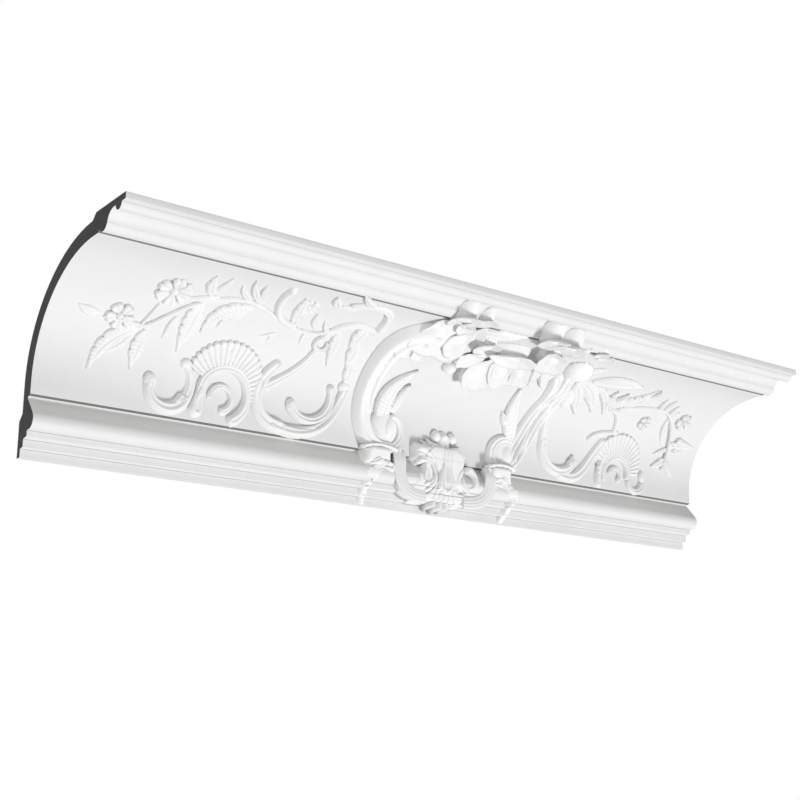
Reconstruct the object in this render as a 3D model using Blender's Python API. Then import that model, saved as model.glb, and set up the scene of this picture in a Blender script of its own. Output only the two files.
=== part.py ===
# Rococo cornice moulding, one cast length, built in metres with +Z up.
# X runs along the length, -Y points into the room, the wall is the plane y = 0.
# The origin is the middle of the strip that lies on the wall.
import math

import bmesh
import bpy
from mathutils import Vector

MM = 0.001

# Overall sizes
LENGTH = 1000.0 * MM
HEIGHT = 219.2 * MM
PROJECTION = 225.0 * MM

# Members under the ceiling, from the front edge inwards
FASCIA_HEIGHT = 7.5 * MM
FASCIA_STEP = 8.0 * MM
BEAD_RADIUS = 6.5 * MM
QUIRK = 3.0 * MM
SCOTIA_RADIUS = 14.5 * MM
OVOLO_RADIUS = 8.5 * MM
OVOLO_CENTRE_DROP = 17.5 * MM
TOP_NOTCH = 1.5 * MM

# The cove: a quarter ellipse with a short straight run at each end
COVE_TOP_DROP = 24.1 * MM
COVE_TOP_RUN = 10.2 * MM
COVE_FOOT_OUT = 24.5 * MM
COVE_FOOT_RUN = 11.2 * MM
COVE_STEPS = 12

# Members on the wall, from the cove's foot down
FOOT_NOTCH_OUT = 18.5 * MM
FOOT_NOTCH_DROP = 3.0 * MM
ROLL_OUT = 36.5 * MM
ROLL_RADIUS = 10.0 * MM
ROLL_CENTRE_DROP = 28.0 * MM
FILLET_1_OUT = 22.3 * MM
FILLET_1_DROP = 44.5 * MM
FILLET_2_OUT = 13.8 * MM
FILLET_2_DROP = 54.5 * MM
FILLET_3_OUT = 7.4 * MM
LOWER_MEMBERS = 64.2 * MM

# The hollow back
SHELL = 17.2 * MM
WALL_STRIP = 39.2 * MM
CEILING_STRIP = 65.0 * MM

# The carving is laid out on the cove's developed face as shares of this sheet
SHEET_LENGTH = 1000.0
SHEET_GIRTH = 220.25
EMBED = 3.6


def arc(cx, cy, rx, ry, a0, a1, steps):
    """Points on an ellipse arc, angles in degrees."""
    out = []
    for i in range(steps + 1):
        a = math.radians(a0 + (a1 - a0) * i / steps)
        out.append((cx + rx * math.cos(a), cy + ry * math.sin(a)))
    return out


# The profile is drawn as (out from the wall, down from the ceiling)
COVE_FOOT_DROP = HEIGHT - LOWER_MEMBERS
BEAD_OUT = PROJECTION - FASCIA_STEP - BEAD_RADIUS
SCOTIA_OUT = BEAD_OUT - BEAD_RADIUS - QUIRK
OVOLO_OUT = SCOTIA_OUT - SCOTIA_RADIUS - OVOLO_RADIUS
COVE_TOP_OUT = OVOLO_OUT - OVOLO_RADIUS - TOP_NOTCH
ELLIPSE_OUT = COVE_TOP_OUT - COVE_TOP_RUN
ELLIPSE_DROP = COVE_FOOT_DROP - COVE_FOOT_RUN
ELLIPSE_A = ELLIPSE_OUT - COVE_FOOT_OUT
ELLIPSE_B = ELLIPSE_DROP - COVE_TOP_DROP


def front_profile():
    """Front outline from the ceiling's front edge down to the wall's lower edge."""
    pts = [(PROJECTION, 0.0), (PROJECTION, FASCIA_HEIGHT)]
    pts += arc(BEAD_OUT, FASCIA_HEIGHT, BEAD_RADIUS, BEAD_RADIUS, 0, 180, 5)
    pts += arc(SCOTIA_OUT, FASCIA_HEIGHT + SCOTIA_RADIUS, SCOTIA_RADIUS, SCOTIA_RADIUS, 270, 186, 4)
    pts += arc(OVOLO_OUT, OVOLO_CENTRE_DROP, OVOLO_RADIUS, OVOLO_RADIUS, 22, 155, 4)
    pts += [(COVE_TOP_OUT, COVE_TOP_DROP)]
    pts += arc(ELLIPSE_OUT, ELLIPSE_DROP, ELLIPSE_A, ELLIPSE_B, 270, 180, COVE_STEPS)
    foot = COVE_FOOT_DROP
    pts += [(COVE_FOOT_OUT, foot), (FOOT_NOTCH_OUT, foot + FOOT_NOTCH_DROP)]
    pts += arc(ROLL_OUT - ROLL_RADIUS, foot + ROLL_CENTRE_DROP, ROLL_RADIUS, ROLL_RADIUS, -42, 90, 5)
    roll_base = foot + ROLL_CENTRE_DROP + ROLL_RADIUS
    pts += [(FILLET_1_OUT, roll_base), (FILLET_1_OUT, foot + FILLET_1_DROP)]
    pts += [(FILLET_2_OUT, foot + FILLET_1_DROP + 1.5 * MM), (FILLET_2_OUT, foot + FILLET_2_DROP)]
    pts += [(FILLET_3_OUT, foot + FILLET_2_DROP), (FILLET_3_OUT, HEIGHT)]
    return pts


def back_profile():
    """Back outline from the wall's lower edge up to the ceiling."""
    pts = [(0.0, HEIGHT), (0.0, HEIGHT - WALL_STRIP)]
    hollow = COVE_FOOT_OUT - SHELL
    pts += [(hollow, HEIGHT - WALL_STRIP - hollow)]
    pts += arc(ELLIPSE_OUT, ELLIPSE_DROP, ELLIPSE_A + SHELL, ELLIPSE_B + SHELL, 180, 268, 12)
    pts += [(PROJECTION - CEILING_STRIP, 0.0)]
    return pts


CEILING_Z = HEIGHT - WALL_STRIP / 2.0


def world(x, out, drop):
    return Vector((x, -out, CEILING_Z - drop))


# The developed face: s runs up from the cove's foot, n stands off the face
ARC = [(a, p) for a, p in zip([90.0 * i / 240 for i in range(241)],
                              arc(ELLIPSE_OUT, ELLIPSE_DROP, ELLIPSE_A, ELLIPSE_B, 180, 270, 240))]
ARC_RUN = [0.0]
for (a0, p0), (a1, p1) in zip(ARC, ARC[1:]):
    ARC_RUN.append(ARC_RUN[-1] + math.hypot(p1[0] - p0[0], p1[1] - p0[1]))
GIRTH = COVE_FOOT_RUN + ARC_RUN[-1] + COVE_TOP_RUN
LOWER_SHARE = LOWER_MEMBERS / GIRTH * SHEET_GIRTH


def developed(x, s, n):
    """World point for a place on the sheet: x, s and n in the sheet's millimetres."""
    x = (x / SHEET_LENGTH - 0.5) * LENGTH
    s = s / SHEET_GIRTH * GIRTH
    n = n * MM
    if s <= COVE_FOOT_RUN:
        return world(x, COVE_FOOT_OUT + n, COVE_FOOT_DROP - s)
    run = s - COVE_FOOT_RUN
    if run >= ARC_RUN[-1]:
        return world(x, ELLIPSE_OUT + run - ARC_RUN[-1], COVE_TOP_DROP + n)
    i = min(int(run / ARC_RUN[-1] * 240), 239)
    while ARC_RUN[i + 1] < run:
        i += 1
    while ARC_RUN[i] > run:
        i -= 1
    f = (run - ARC_RUN[i]) / (ARC_RUN[i + 1] - ARC_RUN[i])
    a = math.radians(ARC[i][0] + f * (ARC[i + 1][0] - ARC[i][0]))
    nx, ny = math.cos(a) / ELLIPSE_A, math.sin(a) / ELLIPSE_B
    k = n / math.hypot(nx, ny)
    return world(x, ELLIPSE_OUT - ELLIPSE_A * math.cos(a) + nx * k,
                 ELLIPSE_DROP - ELLIPSE_B * math.sin(a) + ny * k)


def along(steps, s):
    """Straight-line reading of a short table of (s, value)."""
    if s <= steps[0][0]:
        return steps[0][1]
    for (s0, v0), (s1, v1) in zip(steps, steps[1:]):
        if s <= s1:
            return v0 + (v1 - v0) * (s - s0) / (s1 - s0)
    return steps[-1][1]


# How deep a carved form is let in at s, so that it meets every member it crosses
SEAT = ((-64, -20.0), (-36, -19.0), (-28, -13.0), (-4, -12.0), (8, -EMBED),
        (196, -EMBED), (207, -13.0), (216, -19.0), (270, -20.0))
# Where the members' own face stands at s, off the sheet
FACE = ((-64, -17.0), (-52, -12.0), (-42, 0.0), (-30, 11.0), (-18, 8.0), (-8, -3.0), (0, 0.0),
        (212, 0.0), (230, 1.0), (240, -9.0), (262, -10.0), (270, -18.0))


def seat(s, extra):
    return along(SEAT, s) - extra


def bezier(p, count):
    out = []
    for i in range(count + 1):
        t = i / count
        c = ((1 - t) ** 3, 3 * t * (1 - t) ** 2, 3 * t * t * (1 - t), t ** 3)
        out.append((sum(k * q[0] for k, q in zip(c, p)), sum(k * q[1] for k, q in zip(c, p))))
    return out


class Carver:
    """Makes the carved forms as closed meshes let into the moulding's face."""

    def __init__(self):
        self.solids = []

    def add(self, rings, apex=None):
        """A closed solid from rings of sheet points; the first ring is capped flat."""
        bm = bmesh.new()
        lowest = 0.6 - LOWER_SHARE
        rings = [[(x, max(s, lowest), n) for x, s, n in ring] for ring in rings]
        rows = [[bm.verts.new(developed(*p)) for p in ring] for ring in rings]
        for a, b in zip(rows, rows[1:]):
            for i in range(len(a)):
                j = (i + 1) % len(a)
                bm.faces.new((a[i], a[j], b[j], b[i]))
        bm.faces.new(list(reversed(rows[0])))
        if apex is None:
            bm.faces.new(rows[-1])
        else:
            tip = bm.verts.new(developed(*apex))
            last = rows[-1]
            for i in range(len(last)):
                bm.faces.new((last[i], last[(i + 1) % len(last)], tip))
        bmesh.ops.triangulate(bm, faces=bm.faces[:])
        bmesh.ops.recalc_face_normals(bm, faces=bm.faces[:])
        mesh = bpy.data.meshes.new("carving")
        bm.to_mesh(mesh)
        bm.free()
        self.solids.append(mesh)

    def ribbon(self, line, widths, rises, ridge=0.0):
        """A band along a line; its section is a ridge or a bevelled bar."""
        extra = 0.11 * (len(self.solids) % 9)
        n = len(line)
        rings = []
        for i, (x, s) in enumerate(line):
            x0, s0 = line[max(i - 1, 0)]
            x1, s1 = line[min(i + 1, n - 1)]
            step = math.hypot(x1 - x0, s1 - s0)
            tx, ts = (x1 - x0) / step, (s1 - s0) / step
            face = along(FACE, s)
            spread = (rises[i] - seat(s, extra)) / max(rises[i] - face, 1.5)
            spread = ridge + (1.0 - ridge) * min(max(spread, 1.0), 2.4)
            left = right = widths[i] / 2.0 * spread
            if 0 < i < n - 1:
                turn = math.atan2((x - x0) * (s1 - s) - (s - s0) * (x1 - x),
                                  (x - x0) * (x1 - x) + (s - s0) * (s1 - s))
                if abs(turn) > 1e-3:
                    bend = step / 2.0 / abs(turn)
                    if turn > 0:
                        left = min(left, 0.9 * bend)
                    else:
                        right = min(right, 0.9 * bend)
            if ridge:
                crown = ridge / spread
                section = [(left, None), (crown * left, rises[i]), (-crown * right, rises[i]), (-right, None)]
            else:
                section = [(left, None), (0.0, rises[i]), (-right, None)]
            ring = []
            for off, h in section:
                px, ps = x - ts * off, s + tx * off
                ring.append((px, ps, seat(ps, extra) if h is None else h))
            rings.append(ring)
        self.add(rings)

    def stem(self, p0, p1, p2, p3, w0, w1, rise, rise1=None, steps=5, ridge=0.45):
        line = bezier((p0, p1, p2, p3), steps)
        rise1 = rise if rise1 is None else rise1
        ts = [i / steps for i in range(steps + 1)]
        self.ribbon(line, [w0 + (w1 - w0) * t for t in ts], [rise + (rise1 - rise) * t for t in ts], ridge)

    def band(self, p0, p1, p2, p3, w0, w1, rise, rise1):
        """A flat strap that hangs clear of the members it passes."""
        self.stem(p0, p1, p2, p3, w0, w1, rise, rise1, ridge=0.6)

    def leaf(self, base, tip, width, bend, rise, steps=0):
        """A pointed leaf, fullest a third of the way up, with a raised midrib."""
        steps = steps or (3 if width < 12 else 4)
        dx, ds = tip[0] - base[0], tip[1] - base[1]
        mx = (base[0] + tip[0]) / 2 - ds * bend * 4 / 3
        ms = (base[1] + tip[1]) / 2 + dx * bend * 4 / 3
        p1 = (base[0] + (mx - base[0]) * 0.75, base[1] + (ms - base[1]) * 0.75)
        p2 = (tip[0] + (mx - tip[0]) * 0.75, tip[1] + (ms - tip[1]) * 0.75)
        line = bezier((base, p1, p2, tip), steps)
        widths, rises = [], []
        for i in range(steps + 1):
            t = i / steps
            full = math.sin(math.pi * (0.12 + 0.86 * t) ** 0.85)
            widths.append(width * max(full, 0.12))
            rises.append(rise * (0.55 + 0.45 * math.sin(math.pi * min(t * 1.1, 1.0))))
        self.ribbon(line, widths, rises, 0.0)

    def scroll(self, centre, r0, r1, a0, sweep, w0, w1, rise, rise1=None):
        """A band along a spiral, from angle a0 through sweep degrees."""
        steps = max(4, int(abs(sweep) / 40 + 0.5))
        rise1 = rise if rise1 is None else rise1
        line, widths, rises = [], [], []
        for i in range(steps + 1):
            t = i / steps
            a = math.radians(a0 + sweep * t)
            r = r0 + (r1 - r0) * t
            line.append((centre[0] + r * math.cos(a), centre[1] + r * math.sin(a)))
            widths.append(w0 + (w1 - w0) * t)
            rises.append(rise + (rise1 - rise) * t)
        self.ribbon(line, widths, rises, 0.45)

    def dome(self, centre, rx, rs, turn, rise, sides=10):
        extra = 0.11 * (len(self.solids) % 9)
        c, k = math.cos(math.radians(turn)), math.sin(math.radians(turn))
        rings = []
        for share, level in ((1.25, None), (0.74, 0.8)):
            ring = []
            for i in range(sides):
                a = 2 * math.pi * i / sides
                u, v = rx * share * math.cos(a), rs * share * math.sin(a)
                x, s = centre[0] + u * c - v * k, centre[1] + u * k + v * c
                ring.append((x, s, seat(s, extra) if level is None else rise * level))
            rings.append(ring)
        self.add(rings, (centre[0], centre[1], rise))

    def plate(self, centre, across, tall, rise0, rise1):
        """A low block with its corners cut; it stands rise0 at its upper and rise1 at its lower edge."""
        extra = 0.11 * (len(self.solids) % 9)
        corners = ((1, 0.6), (0.6, 1), (-0.6, 1), (-1, 0.6), (-1, -0.6), (-0.6, -1), (0.6, -1), (1, -0.6))
        rings = []
        for share in (1.06, 0.86):
            ring = []
            for u, v in corners:
                x, s = centre[0] + u * share * across / 2, centre[1] + v * share * tall / 2
                level = rise0 + (rise1 - rise0) * (0.5 - 0.5 * v)
                ring.append((x, s, seat(s, extra) if share > 1.0 else level))
            rings.append(ring)
        self.add(rings)

    def petal(self, centre, length, width, turn, rise, fall, sides=8):
        """A rounded petal pointing along turn: low at its root, full at its rim, hollow between."""
        extra = 0.11 * (len(self.solids) % 9)
        c, k = math.cos(math.radians(turn)), math.sin(math.radians(turn))
        rings = []
        for share in (1.06, 0.86):
            ring = []
            for i in range(sides):
                a = 2 * math.pi * i / sides
                u, v = length * share * math.cos(a), width * share * math.sin(a)
                x, s = centre[0] + u * c - v * k, centre[1] + u * k + v * c
                level = max(rise - fall * (0.5 - 0.5 * math.cos(a)), along(FACE, s) + 0.6)
                ring.append((x, s, seat(s, extra) if share > 1.0 else level))
            rings.append(ring)
        self.add(rings, (centre[0], centre[1], max(0.8 * rise - 0.4 * fall, along(FACE, centre[1]) + 0.6)))

    def flower(self, centre, radius, petals, turn, rise, lift=0.0, squash=1.0):
        """An open flower: notched petals that cup round a raised eye."""
        extra = 0.11 * (len(self.solids) % 9)
        sides = petals * 2
        outline = (0.72, 1.02)
        crest = (0.45, 0.88)
        rings = []
        for share, level in ((1.22, None), (0.66, 1.0), (0.24, 0.5)):
            ring = []
            for i in range(sides):
                a = math.radians(turn) + 2 * math.pi * i / sides
                k = i % 2
                r = radius * share * (outline[k] if share > 0.5 else 1.0)
                n = rise * (level or 0.0) * (crest[k] if share > 0.5 else 1.0) + lift
                x, s = centre[0] + r * math.cos(a), centre[1] + r * math.sin(a) * squash
                ring.append((x, s, seat(s, extra) if level is None else n))
            rings.append(ring)
        self.add(rings, (centre[0], centre[1], lift + rise))

    def shell(self, centre, r_in, r_out, a0, a1, ribs, rise):
        """A fan of ribs between an inner and an outer arc; r_out is (start, middle, end)."""
        extra = 0.11 * (len(self.solids) % 9)
        steps = ribs * 2
        rings = []
        for i in range(steps + 1):
            t = i / steps
            a = math.radians(a0 + (a1 - a0) * t)
            outer = (r_out[0] * (1 - t) * (1 - 2 * t) + 4 * r_out[1] * t * (1 - t) + r_out[2] * t * (2 * t - 1))
            rib = i % 2
            outer *= 1.0 if rib else 0.93
            ring = []
            for r, h in ((r_in, None), (r_in, rise * (0.9 if rib else 0.55)),
                         (outer, rise * (0.8 if rib else 0.35)), (outer, None)):
                x, s = centre[0] + r * math.cos(a), centre[1] + r * math.sin(a)
                ring.append((x, s, seat(s, extra) if h is None else h))
            rings.append(ring)
        self.add(rings)


def carve_left(c):
    """Spray, shell arch and scrolls to the left of the middle."""
    c.leaf((54, 99), (29, 105), 12, 0.10, 3.0)
    c.flower((78, 101), 17, 5, 18, 4.5)
    c.leaf((103, 92), (58, 35), 21, -0.16, 4.0)
    c.leaf((100, 88), (62, 54), 14, 0.10, 4.4)
    c.leaf((111, 88), (106, 44), 18, 0.0, 4.0)
    c.stem((62, 96), (76, 94), (92, 99), (112, 93), 3.5, 5.0, 2.6, steps=3, ridge=0)
    c.stem((104, 92), (108, 104), (112, 112), (114, 124), 4.5, 4.0, 2.8, steps=3, ridge=0)
    c.flower((121, 147), 22, 6, 5, 5.0)
    c.stem((104, 93), (130, 102), (150, 154), (205, 158), 5.0, 6.0, 3.4, ridge=0)
    c.stem((205, 158), (236, 157), (256, 129), (302, 131), 6.0, 5.0, 3.4, ridge=0)
    c.stem((302, 131), (318, 131), (326, 142), (334, 152), 5.0, 5.0, 3.4, steps=3, ridge=0)
    c.leaf((172, 153), (140, 142), 10, 0.08, 3.4)
    c.leaf((158, 139), (155, 72), 22, 0.03, 4.2)
    c.leaf((140, 112), (133, 84), 10, 0.05, 3.4)
    c.leaf((163, 153), (151, 190), 13, 0.10, 4.0)
    c.leaf((163, 156), (169, 194), 10, -0.10, 3.2)
    c.leaf((222, 158), (193, 199), 10, 0.10, 4.0)
    c.leaf((218, 147), (174, 101), 21, -0.24, 4.6, steps=5)
    c.leaf((214, 138), (190, 112), 13, -0.16, 4.0)
    c.shell((221, 37), 31, (39, 62, 52), -10, 154, 8, 4.6)
    c.scroll((222, 36), 29, 33, 188, -252, 9, 14, 6.0)
    c.scroll((220, 30), 14, 15, 178, -252, 6, 10, 5.0)
    c.stem((197, 46), (196, 36), (191, 26), (190, 13), 9, 19, 5.6, steps=3)
    c.scroll((153, 31), 21, 23, 165, 168, 14, 18, 6.4)
    c.stem((173, 18), (184, 32), (184, 48), (171, 62), 17, 8, 6.0, 4.5, steps=4)
    c.dome((132, 36), 8, 10, 10, 6.6, sides=8)
    c.dome((171, 62), 7, 6, 0, 5.2, sides=8)
    c.scroll((336, 50), 26, 30, 205, 185, 13, 11, 6.8)
    c.dome((313, 37), 7, 9, 10, 6.6, sides=8)
    c.dome((379, 70), 8, 7, 0, 5.6, sides=8)
    c.stem((300, 9), (260, 12), (258, 54), (281, 80), 19, 15, 6.4)
    c.stem((292, 10), (332, -2), (374, 14), (381, 64), 16, 14, 6.4)
    c.stem((276, 54), (294, 68), (318, 82), (322, 112), 12, 8, 5.0)
    c.scroll((326, 118), 11, 6, 100, 290, 8, 5, 4.8)
    c.stem((322, 124), (330, 152), (346, 166), (374, 157), 12, 8, 4.6, steps=5)
    c.leaf((336, 142), (345, 92), 15, 0.03, 4.6)
    c.leaf((366, 158), (362, 122), 20, 0.0, 4.6)
    c.leaf((370, 132), (371, 96), 17, 0.0, 4.4)
    c.leaf((376, 106), (380, 68), 15, 0.0, 4.2)
    c.stem((320, 196), (346, 216), (380, 206), (383, 162), 6, 14, 5.0, ridge=0.3)
    c.leaf((347, 203), (314, 228), 11, 0.06, 4.6)
    c.leaf((308, 184), (293, 207), 12, 0.08, 4.0)
    c.stem((277, 137), (250, 137), (238, 160), (240, 197), 8, 11, 4.4, steps=5, ridge=0.3)
    c.leaf((273, 142), (264, 187), 14, -0.04, 4.0)
    c.leaf((307, 138), (295, 163), 11, 0.10, 3.8)


def carve_right(c):
    """Spray, shell arch and scrolls to the right of the middle."""
    c.leaf((736, 155), (816, 167), 27, 0.06, 9.0, steps=6)
    c.leaf((704, 168), (728, 188), 12, 0.06, 5.0)
    c.dome((717, 120), 11, 19, 6, 6.5, sides=8)
    c.leaf((716, 150), (768, 104), 26, 0.16, 7.0, steps=5)
    c.leaf((712, 146), (742, 96), 22, 0.04, 6.0)
    c.leaf((752, 146), (790, 104), 14, 0.16, 4.6)
    c.leaf((792, 112), (788, 148), 15, 0.12, 6.0)
    c.leaf((796, 123), (771, 136), 9, -0.08, 5.0)
    c.leaf((800, 127), (848, 168), 20, -0.24, 5.0, steps=6)
    c.stem((796, 117), (846, 122), (896, 150), (919, 110), 6, 5, 3.4, ridge=0)
    c.stem((919, 110), (936, 92), (941, 68), (937, 42), 5, 4, 3.2, steps=5, ridge=0)
    c.stem((796, 114), (814, 114), (822, 104), (826, 84), 6, 8, 3.6, steps=4, ridge=0)
    c.leaf((883, 130), (879, 153), 11, 0.05, 4.0)
    c.leaf((891, 131), (896, 155), 11, -0.05, 4.0)
    c.leaf((907, 124), (911, 147), 10, 0.05, 3.8)
    c.flower((941, 119), 15, 5, 12, 4.8)
    c.leaf((936, 77), (990, 82), 15, 0.07, 4.0)
    c.flower((956, 81), 13, 5, 0, 4.8)
    c.leaf((940, 58), (915, 44), 13, 0.08, 3.8)
    c.leaf((940, 54), (961, 30), 13, 0.06, 3.8)
    c.flower((872, 104), 12, 5, 30, 4.4)
    c.leaf((910, 120), (922, 78), 10, -0.06, 3.4)
    c.scroll((742, 45), 29, 35, -35, -152, 14, 18, 6.0)
    c.leaf((754, 18), (764, 40), 12, -0.12, 6.0)
    c.stem((707, 46), (700, 80), (698, 106), (714, 136), 16, 7, 5.4, 4.6)
    c.stem((742, 10), (778, 0), (790, 28), (812, 62), 15, 16, 5.0, 4.2)
    c.stem((786, 66), (798, 80), (816, 78), (832, 82), 7, 7, 3.6, steps=4, ridge=0)
    c.shell((847, 25), 25, (42, 58, 46), 0, 158, 7, 4.4)
    c.scroll((847, 25), 24, 23, 206, -214, 8, 10, 5.4)
    c.scroll((846, 21), 12, 9, 160, -200, 5, 8, 4.6)
    c.stem((823, 48), (816, 34), (813, 20), (814, 7), 9, 14, 4.6, steps=3)
    c.scroll((885, 17), 13, 14, 185, 160, 9, 10, 4.8)
    c.dome((899, 26), 6, 9, 0, 4.8, sides=6)


def carve_middle(c):
    """Cartouche over the middle: two arms, feet, shell with volutes, and the flowers."""
    # left arm, its volute and its leaf
    c.stem((452, 4), (405, 0), (407, 62), (411, 114), 22, 30, 13.0, 16.0, ridge=0.6)
    c.stem((411, 106), (411, 144), (420, 172), (442, 186), 29, 36, 16.0, 16.0, steps=4, ridge=0.6)
    c.petal((458, 184), 42, 40, -78, 17.0, 13.0)
    c.petal((488, 188), 36, 22, -96, 15.0, 11.0)
    c.scroll((447, 28), 25, 19, -92, 160, 13, 9, 12.0, 14.0)
    c.dome((450, 30), 9, 18, -4, 13.5, sides=8)
    c.leaf((443, 28), (471, 112), 25, 0.20, 10.0, steps=5)
    c.leaf((454, 48), (470, 91), 15, 0.12, 11.0)
    c.petal((426, 148), 17, 12, -96, 14.0, 6.0)
    c.petal((446, 148), 16, 10, -84, 15.0, 5.0)
    c.plate((437, -8), 46, 34, 12.0, 13.5)
    c.stem((454, -18), (438, -12), (430, -24), (427, -38), 16, 14, 14.0, 10.5, steps=3)
    c.stem((427, -34), (425, -43), (426, -50), (429, -60), 15, 10, 11.0, -10.0, steps=3)
    c.band((468, 6), (463, -36), (470, -50), (506, -50), 19, 15, 15.0, 13.0)
    # right arm, its volute and its leaves
    c.stem((631, 0), (663, 4), (677, 42), (689, 88), 15, 18, 10.0, 12.0, ridge=0.5)
    c.stem((687, 80), (697, 108), (695, 138), (684, 160), 19, 24, 12.0, 14.0, steps=3, ridge=0.5)
    c.stem((643, 18), (661, 36), (665, 62), (679, 100), 18, 17, 7.5, 8.5, steps=4)
    c.stem((677, 92), (687, 112), (683, 136), (671, 152), 17, 20, 8.5, 11.0, steps=3)
    c.scroll((642, 22), 23, 22, 214, -150, 16, 9, 9.0, 8.0)
    c.dome((643, 21), 11, 17, 4, 11.0, sides=8)
    c.leaf((652, 38), (634, 119), 24, 0.05, 9.0, steps=5)
    c.leaf((646, 60), (624, 80), 15, 0.10, 7.0)
    c.plate((631, -8), 44, 32, 12.0, 14.0)
    c.stem((620, -18), (639, -12), (652, -24), (653, -40), 16, 14, 14.0, 10.5, steps=3)
    c.stem((653, -36), (655, -46), (653, -54), (649, -63), 15, 10, 11.0, -12.0, steps=3)
    c.band((612, 0), (612, -36), (602, -50), (566, -50), 19, 15, 15.0, 13.0)
    # shell and volutes at the foot
    c.plate((537, -13), 66, 64, 11.0, 15.0)
    c.plate((522, -42), 80, 28, 13.5, 9.0)
    c.scroll((507, -22), 20, 8, 108, -280, 13, 6, 16.5, 15.0)
    c.scroll((573, -23), 17, 7, 72, -260, 12, 6, 16.0, 14.5)
    c.stem((540, 28), (540, 8), (539, -10), (537, -36), 22, 28, 13.0, 18.0, steps=2, ridge=0.6)
    c.shell((536, -24), 10, (39, 40, 39), 204, 336, 5, 12.0)
    c.dome((528, 31), 7, 8, 0, 12.0, sides=6)
    c.dome((554, 31), 7, 8, 0, 12.0, sides=6)
    c.plate((509, 5), 38, 30, 12.0, 14.5)
    c.leaf((532, 12), (504, 24), 13, 0.10, 11.0)
    c.leaf((543, 4), (577, 8), 22, 0.12, 12.0)
    # flowers and leaves over the upper members
    c.petal((451, 232), 26, 17, 80, 8.0, 5.0)
    c.petal((479, 234), 19, 11, 60, 5.0, 6.0)
    c.petal((466, 218), 15, 12, -60, 9.0, 4.0)
    c.leaf((500, 206), (556, 226), 24, -0.08, 7.0)
    c.petal((522, 186), 26, 18, 128, 18.0, 8.0)
    c.petal((518, 156), 21, 15, 205, 16.0, 6.0)
    c.petal((547, 134), 30, 21, -95, 16.0, 6.0)
    c.petal((577, 145), 29, 20, -60, 16.0, 6.0)
    c.petal((606, 148), 24, 15, -70, 15.0, 6.0)
    c.petal((566, 183), 35, 17, 2, 21.0, 3.0)
    c.petal((585, 237), 26, 20, 110, 13.0, 7.0)
    c.petal((617, 230), 26, 20, 50, 13.0, 7.0)
    c.petal((620, 196), 30, 22, -60, 19.0, 5.0)
    c.dome((690, 172), 23, 19, -15, 15.0, sides=8)
    c.petal((678, 228), 12, 10, 120, 5.0, 3.0)
    c.petal((694, 220), 12, 10, 40, 5.0, 3.0)
    c.leaf((634, 204), (654, 236), 22, 0.08, 9.0)
    c.leaf((644, 184), (658, 128), 26, -0.05, 12.0)
    c.leaf((624, 168), (638, 126), 18, 0.05, 11.0)
    c.leaf((532, 120), (562, 97), 16, 0.08, 7.0)
    c.dome((510, 126), 10, 9, 0, 10.0, sides=6)
    c.dome((495, 144), 12, 11, 0, 11.0, sides=6)


def moulding_body():
    """The plain run: the profile drawn once and drawn out along the length."""
    profile = front_profile() + back_profile()
    bm = bmesh.new()
    ends = []
    for x in (-LENGTH / 2, LENGTH / 2):
        ends.append([bm.verts.new(world(x, out, drop)) for out, drop in profile])
    a, b = ends
    for i in range(len(a)):
        j = (i + 1) % len(a)
        bm.faces.new((a[i], a[j], b[j], b[i]))
    bm.faces.new(list(reversed(a)))
    bm.faces.new(b)
    bmesh.ops.recalc_face_normals(bm, faces=bm.faces[:])
    mesh = bpy.data.meshes.new("cornice_moulding")
    bm.to_mesh(mesh)
    bm.free()
    return mesh


def matte_white():
    material = bpy.data.materials.new("primed_white")
    material.use_nodes = True
    shader = material.node_tree.nodes["Principled BSDF"]
    shader.inputs["Base Color"].default_value = (0.86, 0.86, 0.85, 1.0)
    shader.inputs["Roughness"].default_value = 0.62
    shader.inputs["Metallic"].default_value = 0.0
    return material


def main():
    for old in list(bpy.data.objects):
        bpy.data.objects.remove(old, do_unlink=True)
    body = bpy.data.objects.new("cornice_moulding", moulding_body())
    bpy.context.scene.collection.objects.link(body)
    body.data.materials.append(matte_white())

    carver = Carver()
    carve_left(carver)
    carve_right(carver)
    carve_middle(carver)

    cutters = bpy.data.collections.new("carving_forms")
    bpy.context.scene.collection.children.link(cutters)
    for i, mesh in enumerate(carver.solids):
        form = bpy.data.objects.new("carving_%03d" % i, mesh)
        form.display_type = "WIRE"
        form.hide_render = True
        cutters.objects.link(form)

    union = body.modifiers.new("carving", "BOOLEAN")
    union.operation = "UNION"
    union.operand_type = "COLLECTION"
    union.collection = cutters
    union.solver = "EXACT"
    body.data.set_sharp_from_angle(angle=math.radians(35))


main()
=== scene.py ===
import math

import bmesh
import bpy
import numpy as np
from mathutils import Matrix, Vector


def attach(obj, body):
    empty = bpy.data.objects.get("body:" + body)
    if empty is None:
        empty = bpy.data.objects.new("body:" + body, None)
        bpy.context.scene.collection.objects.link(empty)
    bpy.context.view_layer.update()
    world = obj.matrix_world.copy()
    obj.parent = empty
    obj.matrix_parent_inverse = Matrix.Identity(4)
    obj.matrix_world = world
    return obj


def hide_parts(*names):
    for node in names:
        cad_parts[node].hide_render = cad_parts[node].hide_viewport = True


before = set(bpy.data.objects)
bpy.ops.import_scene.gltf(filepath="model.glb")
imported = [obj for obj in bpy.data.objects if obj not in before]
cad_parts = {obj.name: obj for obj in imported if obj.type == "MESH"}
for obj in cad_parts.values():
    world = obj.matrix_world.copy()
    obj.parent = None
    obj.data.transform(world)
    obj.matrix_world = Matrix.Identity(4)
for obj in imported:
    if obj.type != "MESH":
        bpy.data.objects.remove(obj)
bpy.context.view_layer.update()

# Sizes are in millimetres. Pairs are (out from the wall, down from the ceiling).
MM = 0.001
LENGTH, HEIGHT, PROJECTION = 1000.0, 219.2, 225.0
WALL_STRIP, CEILING_STRIP, SHELL = 39.2, 65.0, 17.2
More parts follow.
